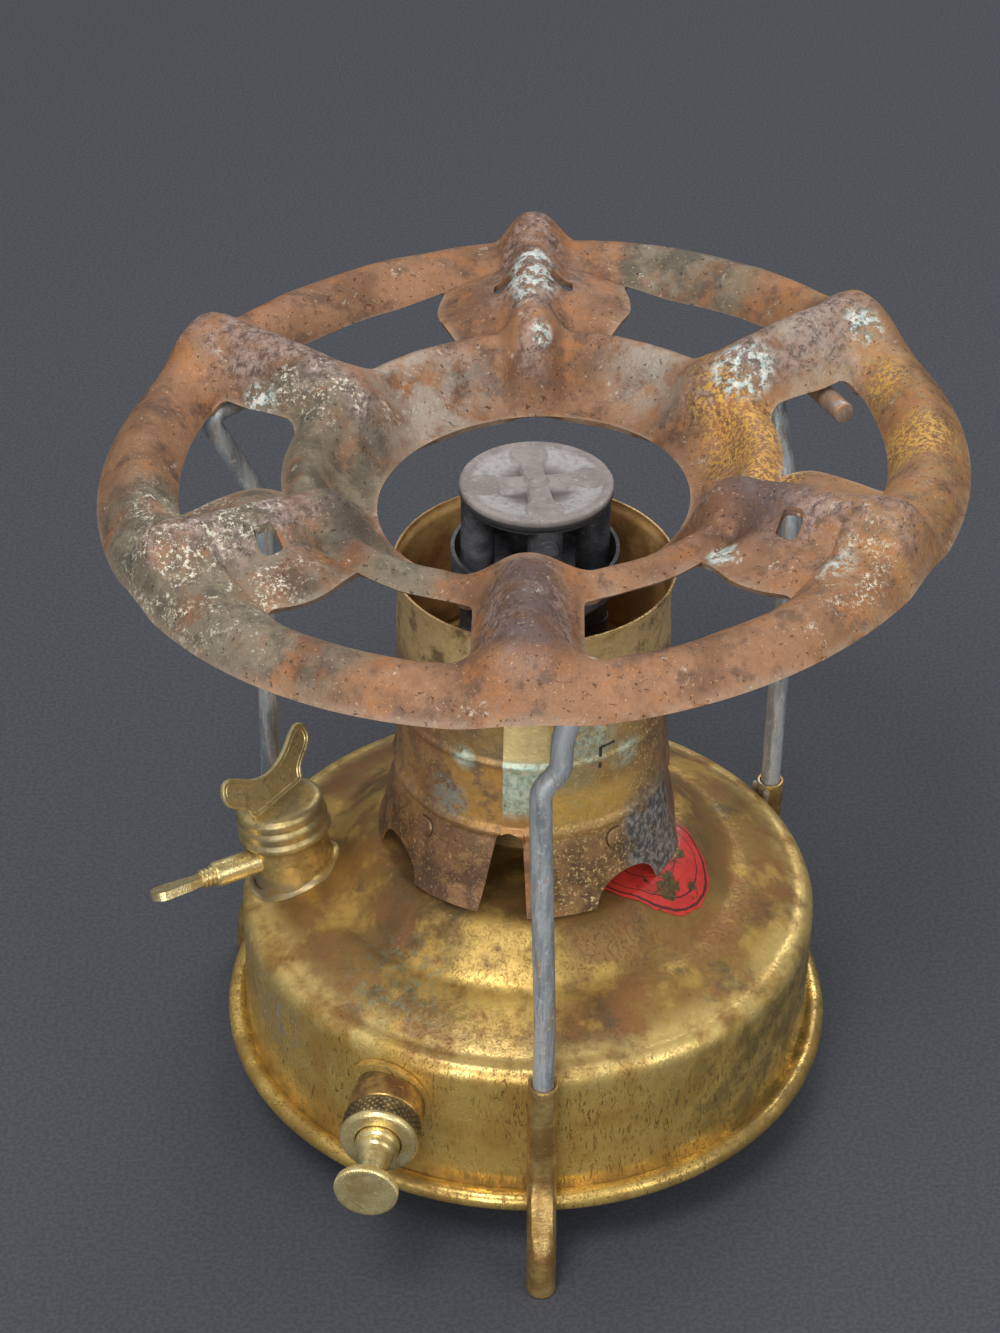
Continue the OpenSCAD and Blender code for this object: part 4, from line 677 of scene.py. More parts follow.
def label():
    cx, cy = label_centre()
    n, shares = 120, np.linspace(0, 1, 26)
    top, low = [], []
    for i in range(n):
        a = 2 * pi * i / n
        edge = 18.35 - 0.6 * abs(sin(7 * a + 1) * sin(3 * a)) - 0.3 * abs(sin(19 * a))
        for q in shares:
            x, y = cx + edge * q * cos(a), cy + edge * q * sin(a)
            z = float(dome_at(math.hypot(x, y)))
            top.append((x, y, z + 0.27 - 0.12 * (q > 0.97)))
            low.append((x, y, z + 0.06))
    m = len(shares)
    faces = grid_faces(n, m, True, False)
    faces += [tuple(v + n * m for v in f) for f in faces]
    rim = [i * m + m - 1 for i in range(n)]
    faces += [(a, b, b + n * m, a + n * m) for a, b in zip(rim, rim[1:] + rim[:1])]
    make("label_skin", top + low, faces, "stove", "label_red", LABEL_MAT, ["tank_label"])


# ---- Legs ----
def beside(az, r, t, z=0.0):
    """A place at r from the axis towards az, and t aside from there."""
    a = rad(az)
    return np.array([r * cos(a) - t * sin(a), r * sin(a) + t * cos(a), z])


def under_ring(az, r, t, drop):
    """The same, at drop below the tilted ring's base."""
    p = beside(az, r, t)
    along = (p[0] - RING_SHIFT) * cos(rad(RING_DIR)) + p[1] * sin(rad(RING_DIR))
    p[2] = RING_Z + math.tan(rad(RING_TILT)) * along - drop
    return p


ARM_DROP = RING_SHEET + WIN_DROP + ROD_R + RING_LOOSE - ARM_ROOM
# For each rod: its direction, its bends (out, aside, up) and its arm (out, aside, below the ring).
RODS = {
    "front": (-90, [(LEG_R, 0, 87), (LEG_R, -2.6, 165), (LEG_R, 2.4, 171), (LEG_R, 2.4, 183)],
              [(LEG_R, 12, ARM_DROP + 1), (82, -14, ARM_DROP)]),
    "right": (30, [(LEG_R, 0, 160)], [(LEG_R + 0.8, 17.5, ARM_DROP + 1), (80.5, -25.5, ARM_DROP)]),
    "left": (150, [(LEG_R, 0, 87), (LEG_R, -2, 166)], [(94.4, 11.5, ARM_DROP), (82, -24, ARM_DROP)]),
}
ASIDE = np.array([0, 1.0, 0])


def rod(name, az, bends, arm):
    path = [beside(az, LEG_R, 0, 41.1)] + [beside(az, *b) for b in bends] + [under_ring(az, *b)
        for b in arm]
    cuts = [6] * len(path)
    if name == "front":
        cuts[2] = cuts[3] = 3.2
    pts, faces = sweep(dense(rounded(path, cuts), 3), ROD_R - 0.03, beside(az, 1, 0), 32, 0.5)
    pts = pts + (wobble(pts, 22, 5) * 0.03)[:, None]
    make("leg_rod_" + name, pts, faces, "stove", "leg_steel", LEG_MAT, ["leg_" + name], sharp=40)


def socket_solder(name, az, side):
    """An uneven fillet of solder along one side of a socket."""
    line = [np.array([82.55, side * 2.75, z]) for z in np.linspace(29, 65.5, 30)]
    line = [v + np.array([0.1 * sin(v[2] * 1.3), side * 0.12 * sin(v[2] * 0.9 + side), 0]) for v in line]
    pts, faces = sweep(line, 0.95, ASIDE, 14, 0.4, lambda i,
        a: 1 + 0.16 * sin(i * 1.1 + side) * sin(i * 0.37))
    title = "solder_%s_%s" % (name, "left" if side < 0 else "right")
    make(title, pts, faces, "stove", "lead", SOLDER, at=rot("Z", az))


def socket(name, az):
    """A tube that bends outwards as a foot, pressed flat outside where it bends, with an open mouth."""
    sides = 40
    foot = [(LEG_R, 0, 66.9), (LEG_R, 0, 37), (92.53, 0, 24), (95.98, 0, 12), (96.4, 0, 0.32)]
    line = dense(rounded(foot, 6), 1.5)

    def press(i, a):
        z = line[min(i, len(line) - 1)][2]
        flat = 1 - 0.30 * float(bump(np.array(z - 25.5), 14.5, 1.5))
        return min(1.0, flat / max(cos(a), 0.01)) if cos(a) > 0 else 1.0

    pts, faces = sweep(line, SOCKET_R - 0.03, ASIDE, sides, 0.45, press)
    # In place of its upper end, the tube goes down inside as a bore with a bottom.
    faces = [f for f in faces if len(f) == 4]
    base = len(pts)
    bore = [polar(r, 2 * pi * s / sides, z) for z,
        r in ((66.8, 3.15), (66.3, 3.0), (43, 2.99)) for s in range(sides)]
    pts = np.concatenate([pts, np.array(bore) + np.array([LEG_R, 0, 0])])
    faces += [(s, (s + 1) % sides, base + (s + 1) % sides, base + s) for s in range(sides)]
    faces += [tuple(base + v for v in f) for f in grid_faces(3, sides, False, True)]
    faces += [tuple(range(base + 2 * sides, base + 3 * sides)), tuple(range(base - sides, base))]
    make("leg_tube_" + name, pts, faces, "stove", "dull_brass", SOCKET, ["leg_socket_" + name],
         at=rot("Z", az), sharp=40)


def legs():
    for name, (az, bends, arm) in RODS.items():
        rod(name, az, bends, arm)
        socket_solder(name, az, -1)
        socket_solder(name, az, 1)
        socket(name, az)


# ---- Pan ring ----
def ring_base(r):
    """Height of the plain ring, without ribs, at a radius."""
    t = (r - WIN_OUT) / (RING_R - WIN_OUT)
    outer = -0.3 + 0.3 * t + 9.3 * np.clip(np.sin(pi * np.clip(t, 0, 1)), 0, 1) ** 0.85
    mid = 1 - 1.3 * (r - WIN_IN) / (WIN_OUT - WIN_IN)
    t2 = (WIN_IN - r) / (WIN_IN - HOLE_R)
    inner = 1 + 4 * np.sin(pi * np.clip(t2 / 0.55, 0, 1)) - 12 * ease((t2 - 0.2) / 0.8)
    return np.where(r >= WIN_OUT, outer, np.where(r >= WIN_IN, mid, inner))


def smooth_line(rs, hs):
    """A crest line through the given points, softened."""
    x = np.linspace(HOLE_R - 6, RING_R + 6, 420)
    y = np.interp(x, rs, hs)
    k = np.exp(-np.linspace(-2, 2, 23) ** 2)
    y2 = np.convolve(np.pad(y, 11, mode="edge"), k / k.sum(), "valid")
    near = np.minimum(x - HOLE_R, RING_R - x)
    w = ease(near / 4)
    return x, y * (1 - w) + y2 * w


# The crests of the plain and the eared ribs.
PLAIN = smooth_line([41, 46, 50, 56, 66, 80, 98, 104, 108, 111, 113.2],
    [-11, -4, 5, 11, 15, 17.5, 18.5, 18, 14, 7, 0])
EARED = smooth_line([41, 46, 50, 55, 60, 70, 78, 90, 100, 105, 109, 111.5, 113.2],
                    [-11, -4, 4, 11, 13.5, 14.5, 15.5, 17, 18.5, 18.5, 14, 7, 0])


def ring_height(r, a):
    """Height with the ribs, and how much of it is a rib's crest."""
    d = (a - RING_TURN + 90) % 360
    k = np.round(d / 60)
    s = r * np.sin(np.radians(d - 60 * k))
    b = ring_base(r)
    plain = b + np.maximum(0, np.interp(r, *PLAIN) - b) * bump(s, 17 + 1.5 * ease((r - 80) / 12), 1.12)
    e = b + 9 * bump(s, 40) * ease((r - WIN_IN + 3) / 12) * ease((WIN_OUT + 10 - r) / 12)
    eared = e + np.maximum(0, np.interp(r, *EARED) - e) * bump(s, 9.9 + 2 * ease((r - 80) / 20), 1.3)
    odd = (k % 2) == 1
    rise = np.where(odd, eared, plain)
    return rise, np.clip((rise - b) / 13, 0, 1)


def half_width(k, r):
    """Half the angle that rib k takes up between its windows."""
    c = np.clip(r, WIN_IN, WIN_OUT)
    d = np.minimum(c - WIN_IN, WIN_OUT - c)
    fill = np.where(d < 4.5, 4.5 - np.sqrt(np.maximum(0, 4.5 ** 2 - (4.5 - np.maximum(d, 0)) ** 2)), 0)
    t = (c - WIN_IN) / (WIN_OUT - WIN_IN)
    h = 13.5 + fill if k % 2 == 0 else 21.5 + 5.5 * np.sin(np.radians(150 * t)) + fill * t / 2
    return np.degrees(np.arcsin(h / c))


def ring():
    def crowded(n):
        """Steps from 0 to 1 that lie closer at both ends."""
        return (1 - np.cos(np.linspace(0, pi, n))) / 2

    inner = HOLE_R + (WIN_IN - HOLE_R) * np.linspace(0, 1, 19)
    window = WIN_IN + (WIN_OUT - WIN_IN) * crowded(21)
    outer = WIN_OUT + (RING_R - WIN_OUT) * crowded(22)
    rows = np.concatenate([inner, window[1:], outer[1:]])
    w0, w1 = len(inner) - 1, len(inner) + len(window) - 2
    rib_cols, win_cols = 44, 16
    cols = rib_cols + win_cols
    A = np.zeros((len(rows), 6 * cols))
    for k in range(6):
        c0 = RING_TURN - 90 + 60 * k
        h0, h1 = half_width(k, rows), half_width(k + 1, rows)
        for m in range(rib_cols):
            A[:, k * cols + m] = c0 + h0 * (2 * m / rib_cols - 1)
        for m in range(win_cols):
            A[:, k * cols + rib_cols + m] = (c0 + h0) + (60 - h0 - h1) * m / win_cols
    Rr = np.tile(rows[:, None], (1, 6 * cols))
    H, C = ring_height(Rr, A)
    flat = np.stack([Rr * np.cos(np.radians(A)), Rr * np.sin(np.radians(A)), H], -1).reshape(-1, 3)
    calm = np.minimum(ease((Rr.ravel() - HOLE_R) / 4), ease((RING_R - Rr.ravel()) / 4))
    flat[:, 2] += (wobble(flat, 24, 11) * 0.30 + wobble(flat, 9, 12) * 0.13 - 0.35 * C.ravel()) * calm
    d_edge = np.minimum(np.abs(Rr - HOLE_R), np.abs(RING_R - Rr))
    n_col = 6 * cols
    # Worn edges: the hole's, the rim's and the windows'.
    edge = ease(1 - d_edge / 1.6)
    for k in range(6):
        for m0 in (k * cols, k * cols + rib_cols):
            for j in range(-2, 3):
                m = (m0 + j) % n_col
                sel = slice(w0, w1 + 1)
                edge[sel, m] = np.maximum(edge[sel, m], 1 - abs(j) / 2.2)
        win = slice(k * cols + rib_cols, k * cols + cols + 1)
        for rr0 in (w0, w1):
            for j in range(-1, 2):
                edge[rr0 + j, win] = np.maximum(edge[rr0 + j, win], 1 - abs(j) / 1.6)

    def keep(i, j):
        return not (w0 <= i < w1 and (j % cols) >= rib_cols)

    faces = grid_faces(len(rows), n_col, False, True, keep)
    used = sorted({v for f in faces for v in f})
    index = {v: i for i, v in enumerate(used)}
    faces = [tuple(index[v] for v in f) for f in faces]
    pts = flat[used]
    obj = make("pan_ring_sheet", pts, faces, "pan_ring", "ring_steel", RING_MAT, ["pan_ring"], at=RING,
        sharp=180,
               attrs={"crest": C.ravel()[used], "edge": edge.ravel()[used]})
    # The sheet's upper side must look up, so that its thickness goes down.
    if sum(p.normal.z * p.area for p in obj.data.polygons) < 0:
        obj.data.flip_normals()
    thick = obj.modifiers.new("thickness", "SOLIDIFY")
    thick.thickness, thick.offset, thick.use_even_offset = RING_SHEET * MM, -1, False
    # Slots with rounded corners.
    loop = [(2.9 * math.copysign(abs(cos(a)) ** 0.5, cos(a)),
        3.0 * math.copysign(abs(sin(a)) ** 0.5, sin(a)))
            for a in (2 * pi * s / 32 for s in range(32))]
    pts, faces = [], []
    for k in (1, 3, 5):
        for side in (-8, 8):
            slot_pts, slot_faces = prism([(78.4 + x, side + y) for x, y in loop], -4, 26)
            faces += [tuple(len(pts) + v for v in f) for f in slot_faces]
            pts += moved(np.array(slot_pts), rot("Z", RING_TURN - 90 + 60 * k)).tolist()
    carve(obj, moved(np.array(pts), RING), faces, 50)
    soft = obj.modifiers.new("edges", "BEVEL")
    soft.width, soft.segments, soft.limit_method, soft.angle_limit = 0.35 * MM, 2, "ANGLE", rad(55)


# ---- Windshield ----
SEAM, FOOT = -104.6, float(dome_at(43)) + 0.6
SKIRT_H, SKIRT_R = 23, 43
SKIRT_TOP = FOOT + SKIRT_H
SWAGE = SKIRT_TOP + 24
TOP = 175.0
# The tall slot: its direction, the feet beside it and its half width. Six arches share out the rest.
SLOT_DIR, SLOT_LEFT, SLOT_RIGHT, SLOT_HALF, SLOT_H = -101.5, -10.5, 7.9, 5.8, 25.4
ARCH_HALF, ARCH_H = 11.0, 8.0
ARCHES = [SLOT_DIR + 360 / 7 * (i + 1) - 2 for i in range(6)]


def shield_radius(z):
    h = (z - FOOT) / SKIRT_H
    skirt = np.interp(h, [0, 0.35, 0.8, 1], [43, 40.91, 38.71, 37.5])
    wall = np.interp(z, [SKIRT_TOP, SWAGE, SWAGE + 3, TOP - 10, TOP], [37.5, 37.5, 37.5, 36.8, 36.8])
    r = np.where(z < SKIRT_TOP, skirt, wall)
    r = r + 1.25 * bump(z - (SKIRT_TOP + 1.7), 2.3) + 0.75 * bump(z - SWAGE, 1.9)
    return r + 1.05 * ease((z - TOP + 3.2) / 2.4)


def shield_bottom(az):
    """Height of the wall's lower edge, for arches and the tall slot."""
    z = 0.0
    for c in ARCHES:
        x = rad(abs((az - c + 180) % 360 - 180)) * SKIRT_R / ARCH_HALF
        if x < 1:
            z = ARCH_H * math.sqrt(1 - x * x)
    d = (az - SLOT_DIR + 180) % 360 - 180
    if d <= SLOT_LEFT or d >= SLOT_RIGHT:
        return z
    if d < -SLOT_HALF:
        return (SLOT_H - 4) * (d - SLOT_LEFT) / (-SLOT_HALF - SLOT_LEFT)
    if d > SLOT_HALF:
        return (SLOT_H - 4) * (SLOT_RIGHT - d) / (SLOT_RIGHT - SLOT_HALF)
    return SLOT_H - 4 + 4 * math.sqrt(max(0, 1 - (d / SLOT_HALF) ** 2))


def shield():
    # Columns of points lie closest at the arches, the slot and the seam.
    cols = set(np.round(np.arange(-180, 180, 1.5), 3))
    e = math.degrees(ARCH_HALF / SKIRT_R)
    for c in ARCHES:
        for q in np.linspace(0, 1, 15):
            cols |= {round(c - e * cos(pi / 2 * q), 3), round(c + e * cos(pi / 2 * q), 3)}
    slot = [*np.linspace(SLOT_LEFT, -SLOT_HALF, 7), *np.linspace(SLOT_HALF, SLOT_RIGHT, 6),
            *(SLOT_HALF * sin(x) for x in np.linspace(-pi / 2, pi / 2, 17))]
    cols |= {round(SLOT_DIR + d, 3) for d in slot}
    cols |= {SEAM - 0.35, SEAM}
    cols = sorted((c + 180) % 360 - 180 for c in cols)
    cols = [c for i, c in enumerate(cols) if i == 0 or c - cols[i - 1] > 0.02]
    low = np.linspace(0, 1, 26)
    high = np.concatenate([np.linspace(SKIRT_TOP + 4.4, SWAGE - 2, 9)[1:],
        np.linspace(SWAGE - 2, SWAGE + 2, 9)[1:],
                           np.linspace(SWAGE + 2, TOP - 3.4, 9)[1:], np.linspace(TOP - 3.4, TOP, 7)[1:]])
    pts, az_values = [], []
    for az in cols:
        b = FOOT + shield_bottom(az)
        zs = np.concatenate([b + (SKIRT_TOP + 4.4 - b) * low, high])
        rs = shield_radius(zs)
        lap = ((az - SEAM + 180) % 360) - 180
        if 0 <= lap < 40:
            rs = rs + 0.5 * (1 - ease(np.array(lap / 40)))
        bend = wobble(np.array([[0.3 * az, 0, 0]]), 20, 21)[0]
        a = rad(az)
        # The skirt's feet are bent about a little.
        rs = rs + ease((FOOT + 20 - zs) / 20) * 0.25 * (bend - 1)
        pts += [polar(r, a, z) for r, z in zip(rs, zs)]
        az_values += [az] * len(zs)
    n, m = len(cols), len(low) + len(high)
    pts = np.array(pts)
    dent = (wobble(pts, 26, 8) * 0.22 - 0.2) * ease((TOP - 2 - pts[:, 2]) / 8) * ease((pts[:,
        2] - FOOT) / 6)
    rr = np.hypot(pts[:, 0], pts[:, 1])
    pts[:, :2] *= ((rr + dent) / rr)[:, None]
    # An inner skin, one sheet thickness inside.
    rr = np.hypot(pts[:, 0], pts[:, 1])
    inner = pts.copy()
    inner[:, :2] *= ((rr - 0.6) / rr)[:, None]
    faces = grid_faces(n, m, True, False)
    faces += [tuple(v + n * m for v in f) for f in faces]
    for i in range(n):
        j = (i + 1) % n
        for row in (0, m - 1):
            a, b = i * m + row, j * m + row
            faces.append((a, b, b + n * m, a + n * m))
    make("windshield_wall", np.concatenate([pts, inner]), faces, "windshield", "shield_brass", SHIELD_MAT,
        ["windshield"],
         sharp=45, attrs={"az": az_values * 2, "inside": [0.0] * len(pts) + [1.0] * len(pts)})
    shield_marks()


def shield_marks():
    """Two punched tabs and a cut corner in the wall, with painted shade along their slits."""
    for name, az, z, flip in (("tab_left", -139.5, 105.4, 1), ("tab_right", -57.0, 106.4, -1)):
        loop = [(flip * -1.9, -2.5), (flip * 0.1, -2.5)] + [(flip * (0.1 + 2.1 * sin(q)), -2.5 * cos(q))
            for q in np.linspace(0.2, pi - 0.2, 9)]
        loop += [(flip * 0.1, 2.5), (flip * -1.9, 2.5)]
        pts, k = [], len(loop)
        for depth, w in ((0.1, 1.16), (0.12, 1.12), (0.62, 1.0), (0.7, 0.9)):
            for x, y in loop:
                a = rad(az) + x * w / 39
                q = float(shield_radius(np.array(z + y * w))) + depth
                pts.append(polar(q, a, z + y * w))
        faces = [tuple(range(3 * k, 4 * k))] + grid_faces(4, k, False, True)
        # Painted shade: the tab's two outer rings, where it meets the wall, are marked dark.
        dark = [1.0] * (2 * k) + [0.0] * (2 * k)
        make(name, pts, faces, "windshield", "shield_brass", SHIELD_MAT, sharp=40,
             attrs={"az": [az] * len(pts), "inside": [0.0] * len(pts), "slit_shade": dark})
    # Painted shade: two thin dark strips stand in for the cut corner's slit.
    pts, faces = [], []
    for (a0, z0), (a1, z1), w in (((-64.2, 131.5), (-64.2, 138.2), 0.35),
                                  ((-64.2, 138.2), (-57.5, 138.6), 0.25)):
        base = len(pts)
        for a_, z_, o in ((a0, z0, -w), (a1, z1, -w), (a1, z1, w), (a0, z0, w)):
            a = rad(a_ + (o * 1.6 if a0 == a1 else 0))
            z = z_ + (0 if a0 == a1 else o)
            r = float(shield_radius(np.array(z)))
            for e in (-0.25, 0.33):
                pts.append(polar(r + e, a, z))
        box = [(0, 2, 4, 6), (1, 7, 5, 3), (0, 1, 3, 2), (2, 3, 5, 4), (4, 5, 7, 6), (6, 7, 1, 0)]
        faces += [tuple(base + v for v in f) for f in box]
    make("cut_corner_shade", pts, faces, "windshield", "shield_brass", IRON)


# ---- Filler ----
def filler():
    prof = [(9.6, -4), (11.6, -4), (11.6, 0.2), (11.55, 9), (11.45, 11.4), (11.7, 12.0), (11.0, 12.2),
        (11.0, 18.7), (9.6, 18.7)]
    turned("neck", prof, 0.3, True, 96, "stove", "dull_brass", NECK, ["filler_neck"], at=FILLER)
    # Soldered foot, which follows the dome.
    n, rows = 96, [(11.3, 2.3), (11.62, 1.2), (11.9, 0.55), (12.3, 0.2), (12.75, -0.1)]
    pts = []
    axis = np.array(FILLER)[:3, 2]
    for i in range(n):
        a = 2 * pi * i / n
        for r, h in rows:
            r2 = r + 0.2 * abs(sin(3 * a + 1)) * (r > 11.8)
            p = np.array([r2 * cos(a) - FILLER_OUT, r2 * sin(a)]) + axis[:2]
            z = float(dome_at(np.hypot(*p)))
            pts.append((p[0] + axis[0] * max(h, 0), p[1] + axis[1] * max(h, 0),
                z + h * (0.9 + 0.2 * sin(5 * a))))
    make("neck_solder", pts, grid_faces(n, len(rows), True, False), "stove", "dull_brass", NECK)
    prof = [(1.7, 9), (3.6, 9), (3.65, 23.9), (3.65, 24.6), (3.2, 25.4), (1.7, 25.4)]
    turned("air_boss", prof, 0.3, True, 48, "stove", "fitting_brass", FITTING, at=AIR)
    # The cap, from its foot up.
    f, top = 12.4, 23.5
    prof = [(0, top - 3.4), (11.1, top - 3.4), (11.1, f), (12.5, f), (13.25, f + 0.8), (13.25, f + 2.1),
        (12.5, f + 3.0), (12.72, f + 4),
            (13.05, f + 5.2), (12.72, f + 6.4), (12.3, f + 7.0), (12.6, f + 7.8), (12.65, top - 1.7),
            (12.0, top - 0.6), (11.0, top - 0.12), (9.5, top), (0, top)]
    turned("cap_turned", prof, 0.5, False, 128, "cap", "fitting_brass", CAP, ["filler_cap"], at=FILLER)


def wing():
    half, foot = 18.4, 10.4
    c = np.array([[-foot + 0.6, 0.0], [-foot - 0.6, 1.4], [-foot - 1.6, 4.2], [-half + 2.0, 7.6],
        [-half + 0.3, 9.8], [-half, 12.6],
                  [-half + 1.1, 15.1], [-half + 3.4, 16.0], [-half + 6.2, 14.9], [-8.0, 12.0], [-4.2, 10.2],
                  [0, 9.5],
                  [4.2, 10.2], [8.0, 12.0], [half - 6.2, 14.9], [half - 3.4, 16.0], [half - 1.1, 15.1],
                  [half, 12.6],
                  [half - 0.3, 9.8], [half - 2.0, 7.6], [foot + 1.6, 4.2], [foot + 0.6, 1.4],
                  [foot - 0.6, 0.0]])
    # A smooth loop through the points, left open at the straight foot.
    out = []
    for i in range(len(c) - 1):
        p0, p1, p2, p3 = c[max(i - 1, 0)], c[i], c[i + 1], c[min(i + 2, len(c) - 1)]
        for t in np.linspace(0, 1, 6, endpoint=False):
            curve = (2 * p0 - 5 * p1 + 4 * p2 - p3) * t * t + (3 * p1 - p0 - 3 * p2 + p3) * t ** 3
            out.append(0.5 * (2 * p1 + (p2 - p0) * t + curve))
    out.append(c[-1])
    loop = np.array(out + [np.array([x, 0.0]) for x in np.linspace(foot - 1.6, -foot + 1.6, 10)])
    prev, nxt = np.roll(loop, 1, 0), np.roll(loop, -1, 0)
    tan = nxt - prev
    tan /= np.linalg.norm(tan, axis=1)[:, None]
    inward = np.stack([tan[:, 1], -tan[:, 0]], -1)
    if np.mean(np.sum(inward * (np.array([0, 7.0]) - loop), 1)) < 0:
        inward = -inward
    # From the edge inwards: a raised lip, a groove and an inner line, as (inset, half thickness).
    steps = [(0.0, 0.30), (0.1, 0.58), (0.3, 0.75), (0.85, 0.75), (1.02, 0.5), (1.3, 0.44), (1.48, 0.66),
        (1.78, 0.66), (1.95, 0.44), (2.15, 0.42)]
    n, pts = len(loop), []
    for side in (1, -1):
        for inset, height in steps:
            q = loop + inward * inset
            q[:, 1] = np.maximum(q[:, 1], np.minimum(loop[:, 1], 0))
            pts += [(x, y, side * height) for x, y in q]
    m = len(steps)
    faces = []
    for start in (0, m * n):
        faces += [tuple(start + v for v in f) for f in grid_faces(m, n, False, True)]
        faces.append(tuple(range(start + (m - 1) * n, start + m * n)))
    faces += [(j, (j + 1) % n, m * n + (j + 1) % n, m * n + j) for j in range(n)]
    at = FILLER @ shift(0, 0, 23.5) @ rot("Z", 52) @ rot("X", 82) @ shift(0, -0.6, 0)
    make("wing_plate", pts, faces, "cap", "fitting_brass", WING, ["filler_wing"], at=at, sharp=24)


# ---- Pump ----
def pump():
    f, bore = PUMP_FACE, 9.36
    # Gland: smooth sleeve, diamond knurl, polished front.
    prof = [(bore, f - 15.4), (10.15, f - 15.4), (10.2, f - 14.6), (10.2, f - 8.6), (9.9, f - 8.3),
        (9.9, f - 7.9)]
    pts, faces = lathe(soften(prof, 0.15) + [(bore, f - 7.9)], 128)
    make("gland_sleeve", pts, faces, "stove", "fitting_brass", GLAND, ["pump_cap"], at=PUMP)
    n, rows = 288, 26
    pts = []
    for i in range(n):
        a = 2 * pi * i / n
        for j in range(rows):
            q = j / (rows - 1)
            z = f - 7.95 + 5.9 * q
            u, v = 30 * a / (2 * pi) + 3.0 * q, 30 * a / (2 * pi) - 3.0 * q
            d = min(abs((u % 1) - 0.5), abs((v % 1) - 0.5)) * 2
            r = 10.58 - 0.42 * (1 - min(1, d * 2.2)) - 0.35 * max(0, 1 - q / 0.07) - 0.35 * max(0,
                1 - (1 - q) / 0.07)
            pts.append(polar(r, a, z))
    base = len(pts)
    pts += [polar(bore, 2 * pi * i / n, z) for i in range(n) for z in (f - 7.95, f - 2.05)]
    faces = grid_faces(n, rows, True, False)
    for i in range(n):
        k = (i + 1) % n
        faces += [(i * rows, k * rows, base + 2 * k, base + 2 * i),
            (i * rows + rows - 1, k * rows + rows - 1, base + 2 * k + 1, base + 2 * i + 1)]
    make("gland_knurl", pts, faces, "stove", "fitting_brass", KNURL, at=PUMP, sharp=180)
    prof = [(bore, f - 2.05), (10.2, f - 2.05), (10.6, f - 1.75), (10.6, f - 1.1), (10.1, f - 0.25),
        (9.4, f), (6.6, f), (6.2, f - 0.4),
            (6.2, f - 4.4), (2.06, f - 4.4), (2.06, f - 6.4), (bore, f - 6.4)]
    turned("gland_front", prof, 0.2, True, 128, "stove", "fitting_brass", FITTING, at=PUMP)
    # Knob: a waisted stem with a flat head whose edge is finely knurled.
    k = KNOB_FACE
    prof = [(2.05, f - 4.3), (5.9, f - 4.3), (5.95, f + 0.6), (5.8, f + 1.3), (5.2, f + 1.9),
        (5.15, f + 3.2), (4.95, f + 3.8), (4.4, f + 4.5), (4.35, f + 6.2),
            (4.1, f + 6.9), (3.35, f + 9.2), (2.95, f + 11.6), (3.0, k - 4.6), (3.5, k - 3.5),
            (4.6, k - 2.75), (6.6, k - 2.45)]
    turned("knob_stem", prof, 0.35, False, 96, "pump_rod", "fitting_brass", FITTING, ["pump_knob"], at=PUMP)
    n, prof = 320, [(2.05, -2.5), (7.9, -2.45), (8.3, -2.25), (8.48, -1.9), (8.48, -0.6), (8.3, -0.22),
        (7.9, -0.03), (7.2, 0.0), (3, 0.0), (0.0, 0.0)]
    pts = []
    for i in range(n):
        a = 2 * pi * i / n
        tooth = 0.22 * (i % 4 < 2)
        pts += [polar(r - tooth * (r > 8.25), a, k + z) for r, z in prof]
    make("knob_head", pts, grid_faces(n, len(prof), True, False), "pump_rod", "fitting_brass", FITTING,
        at=PUMP, sharp=40)


# ---- Burner ----
def burner_plate():
    """The burner's top: a cross with round ends, and a scoop in each corner of it."""
    n, top, rim, turn = 240, 200.0, 20.2, 6.0
    rs = np.concatenate([np.linspace(0.4, 17.4, 46), np.linspace(17.6, 19.4, 9), [19.8, 20.05, rim]])
    pts, scoop = [], []
    for i in range(n):
        a = 2 * pi * i / n
        for r in rs:
            d = ((math.degrees(a) - turn + 45) % 90) - 45
            x, y = r * cos(rad(d)), abs(r * sin(rad(d)))
            bar = y - (2.6 + 0.02 * x)
            lobe = math.hypot(x - 13.6, y) - 4.7
            away = min(bar if x < 13.6 else 9, lobe, r - 3.2)
            # Each scoop is deepest in its corner by the middle and comes up to the rim.
            deep = float(ease(np.array(away / 0.7))) * (0.25 + 2.0
                * (1 - float(ease(np.array((r - 4.5) / 14)))))
            deep *= 1 - float(ease(np.array((r - 17.0) / 1.7)))
            edge = 0.0 if r < 19.7 else (0.1 if r < 19.9 else (0.28 if r < 20.1 else 0.6))
            pts.append(polar(r, a, top - deep - edge))
            scoop.append(deep / 2.2)
        under = ((rim, 2.6), (19.9, 3.0), (19.2, 3.1), (19.15, 4.4), (1.7, 4.4))
        pts += [polar(r, a, top - drop) for r, drop in under]
        scoop += [-1.0] * len(under)
    make("burner_plate", pts, grid_faces(n, len(rs) + len(under), True, True), "stove", "burner_face", FACE,
        ["burner_top"], sharp=60, attrs={"scoop": scoop})


tank()
label()
legs()
ring()
shield()
filler()
wing()
pump()
burner_plate()

# ---- CAD nodes that stay in view ----
KEEP = (
    (FITTING, "air_screw"), (TANK, "pump_collar"), (FACE, "flame_spreader"), (RUBBER, "valve_pip"),
    (LEATHER, "filler_gasket pump_leather"), (LEAD, "valve_washer burner_washer"),
    (ROD_STEEL, "pump_rod valve_spring"),
    (INNER, "pump_barrel pump_washer_front pump_washer_back pump_nut valve_body valve_plunger valve_plug"),
    (INNER, "riser_boss riser_tube spirit_cup burner_jet"),
    (IRON, "vapour_tube_front vapour_tube_right vapour_tube_back vapour_tube_left"),
    (IRON, "burner_base air_cup tube_plug"),
)
for material, nodes in KEEP:
    for node in nodes.split():
        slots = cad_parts[node].data.materials
        slots.clear()
        slots.append(material)

for obj, body in made:
    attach(obj, body)

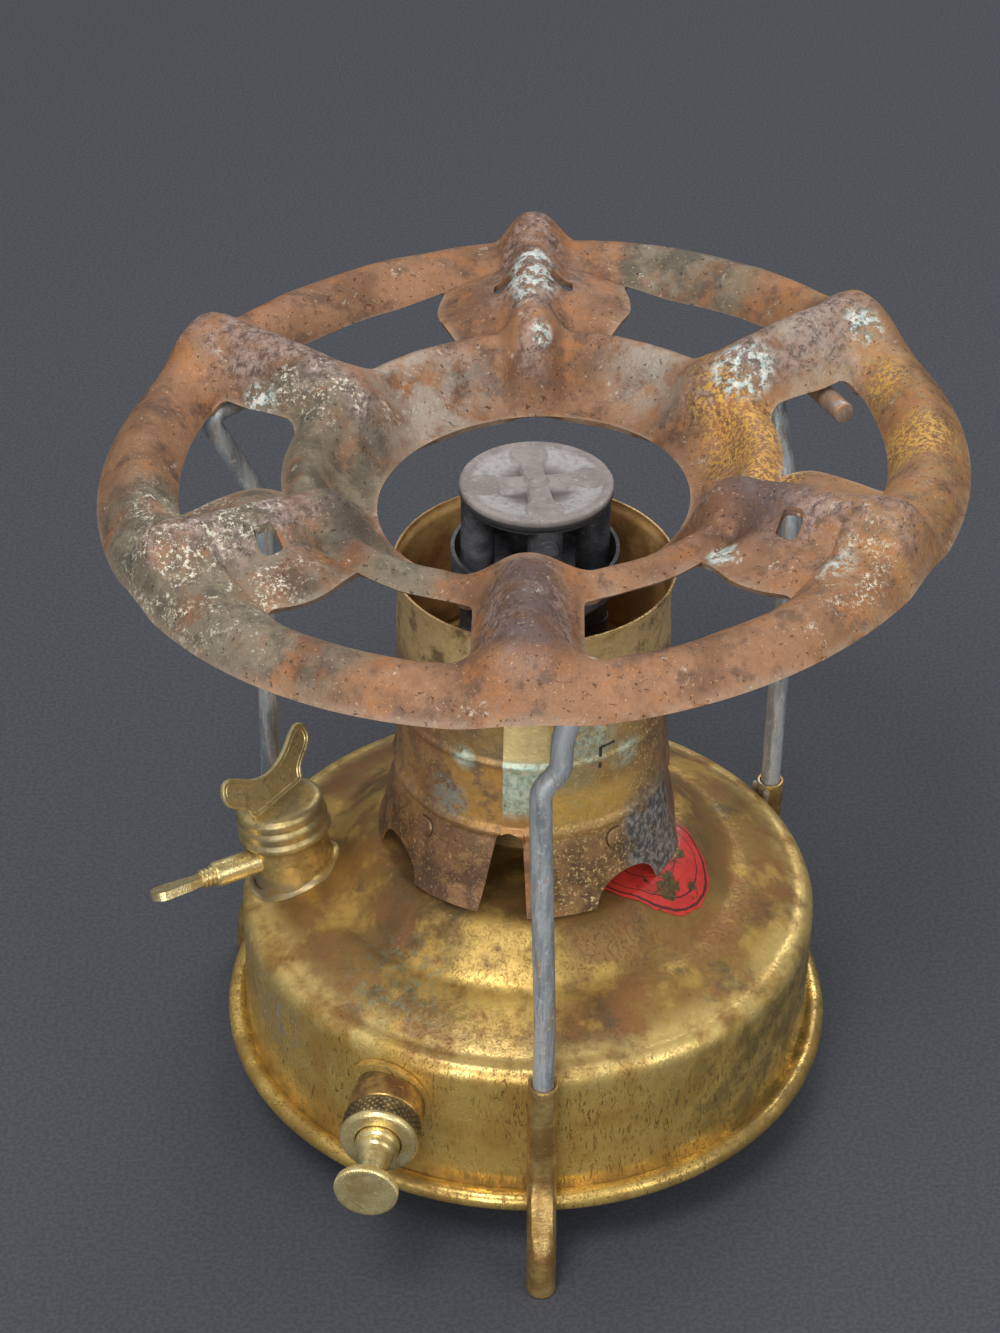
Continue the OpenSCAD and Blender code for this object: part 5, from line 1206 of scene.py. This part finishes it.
# ---- Stage and light ----
floor_tree = Tree("floor")
speck = floor_tree.noise(1.2, 4, 0.6)
floor_tree.color = floor_tree.mix(floor_tree.step(speck, 0.4, 0.6), (0.050, 0.054, 0.066),
    (0.070, 0.075, 0.088))
floor_tree.bumps([(speck, 0.05)])
bm = bmesh.new()
bmesh.ops.create_grid(bm, x_segments=1, y_segments=1, size=30)
mesh = bpy.data.meshes.new("floor")
bm.to_mesh(mesh)
bm.free()
floor = bpy.data.objects.new("floor", mesh)
mesh.materials.append(floor_tree.finish(0.85, 0.0))
scene.collection.objects.link(floor)

world = bpy.data.worlds.new("studio")
scene.world = world
world.use_nodes = True
wt = world.node_tree
wt.nodes.clear()
kinds = ("OutputWorld", "Background", "TexCoord", "SeparateXYZ", "MapRange")
w_out, w_bg, w_tc, w_sep, w_map = (wt.nodes.new("ShaderNode" + kind) for kind in kinds)
wt.links.new(w_tc.outputs["Generated"], w_sep.inputs[0])
wt.links.new(w_sep.outputs["Z"], w_map.inputs["Value"])
w_map.interpolation_type = "SMOOTHSTEP"
for key, v in (("From Min", -0.1), ("From Max", 0.9), ("To Min", 0.16), ("To Max", 0.62)):
    w_map.inputs[key].default_value = v
w_bg.inputs["Color"].default_value = (0.97, 0.985, 1.0, 1)
wt.links.new(w_map.outputs[0], w_bg.inputs["Strength"])
wt.links.new(w_bg.outputs[0], w_out.inputs[0])


def lamp(name, at, to, size, power, color=(1, 1, 1)):
    data = bpy.data.lights.new(name, "AREA")
    data.shape, data.energy, data.color = "RECTANGLE", power, color
    data.size, data.size_y = size
    obj = bpy.data.objects.new(name, data)
    scene.collection.objects.link(obj)
    d = Matrix.Translation(at).to_translation() - Matrix.Translation(to).to_translation()
    obj.matrix_world = Matrix.Translation(at) @ d.to_track_quat("Z", "Y").to_matrix().to_4x4()


lamp("key", (-0.35, -0.75, 1.5), (0, 0, 0.08), (0.5, 0.5), 11, (1, 0.985, 0.96))
lamp("fill", (0.9, -0.9, 0.7), (0, 0, 0.08), (0.5, 0.8), 3.2)
lamp("front", (-0.35, -1.3, 0.38), (0, 0, 0.08), (0.9, 0.6), 7.5)
lamp("back", (0.4, 1.1, 1.2), (0, 0, 0.15), (0.8, 0.4), 5)
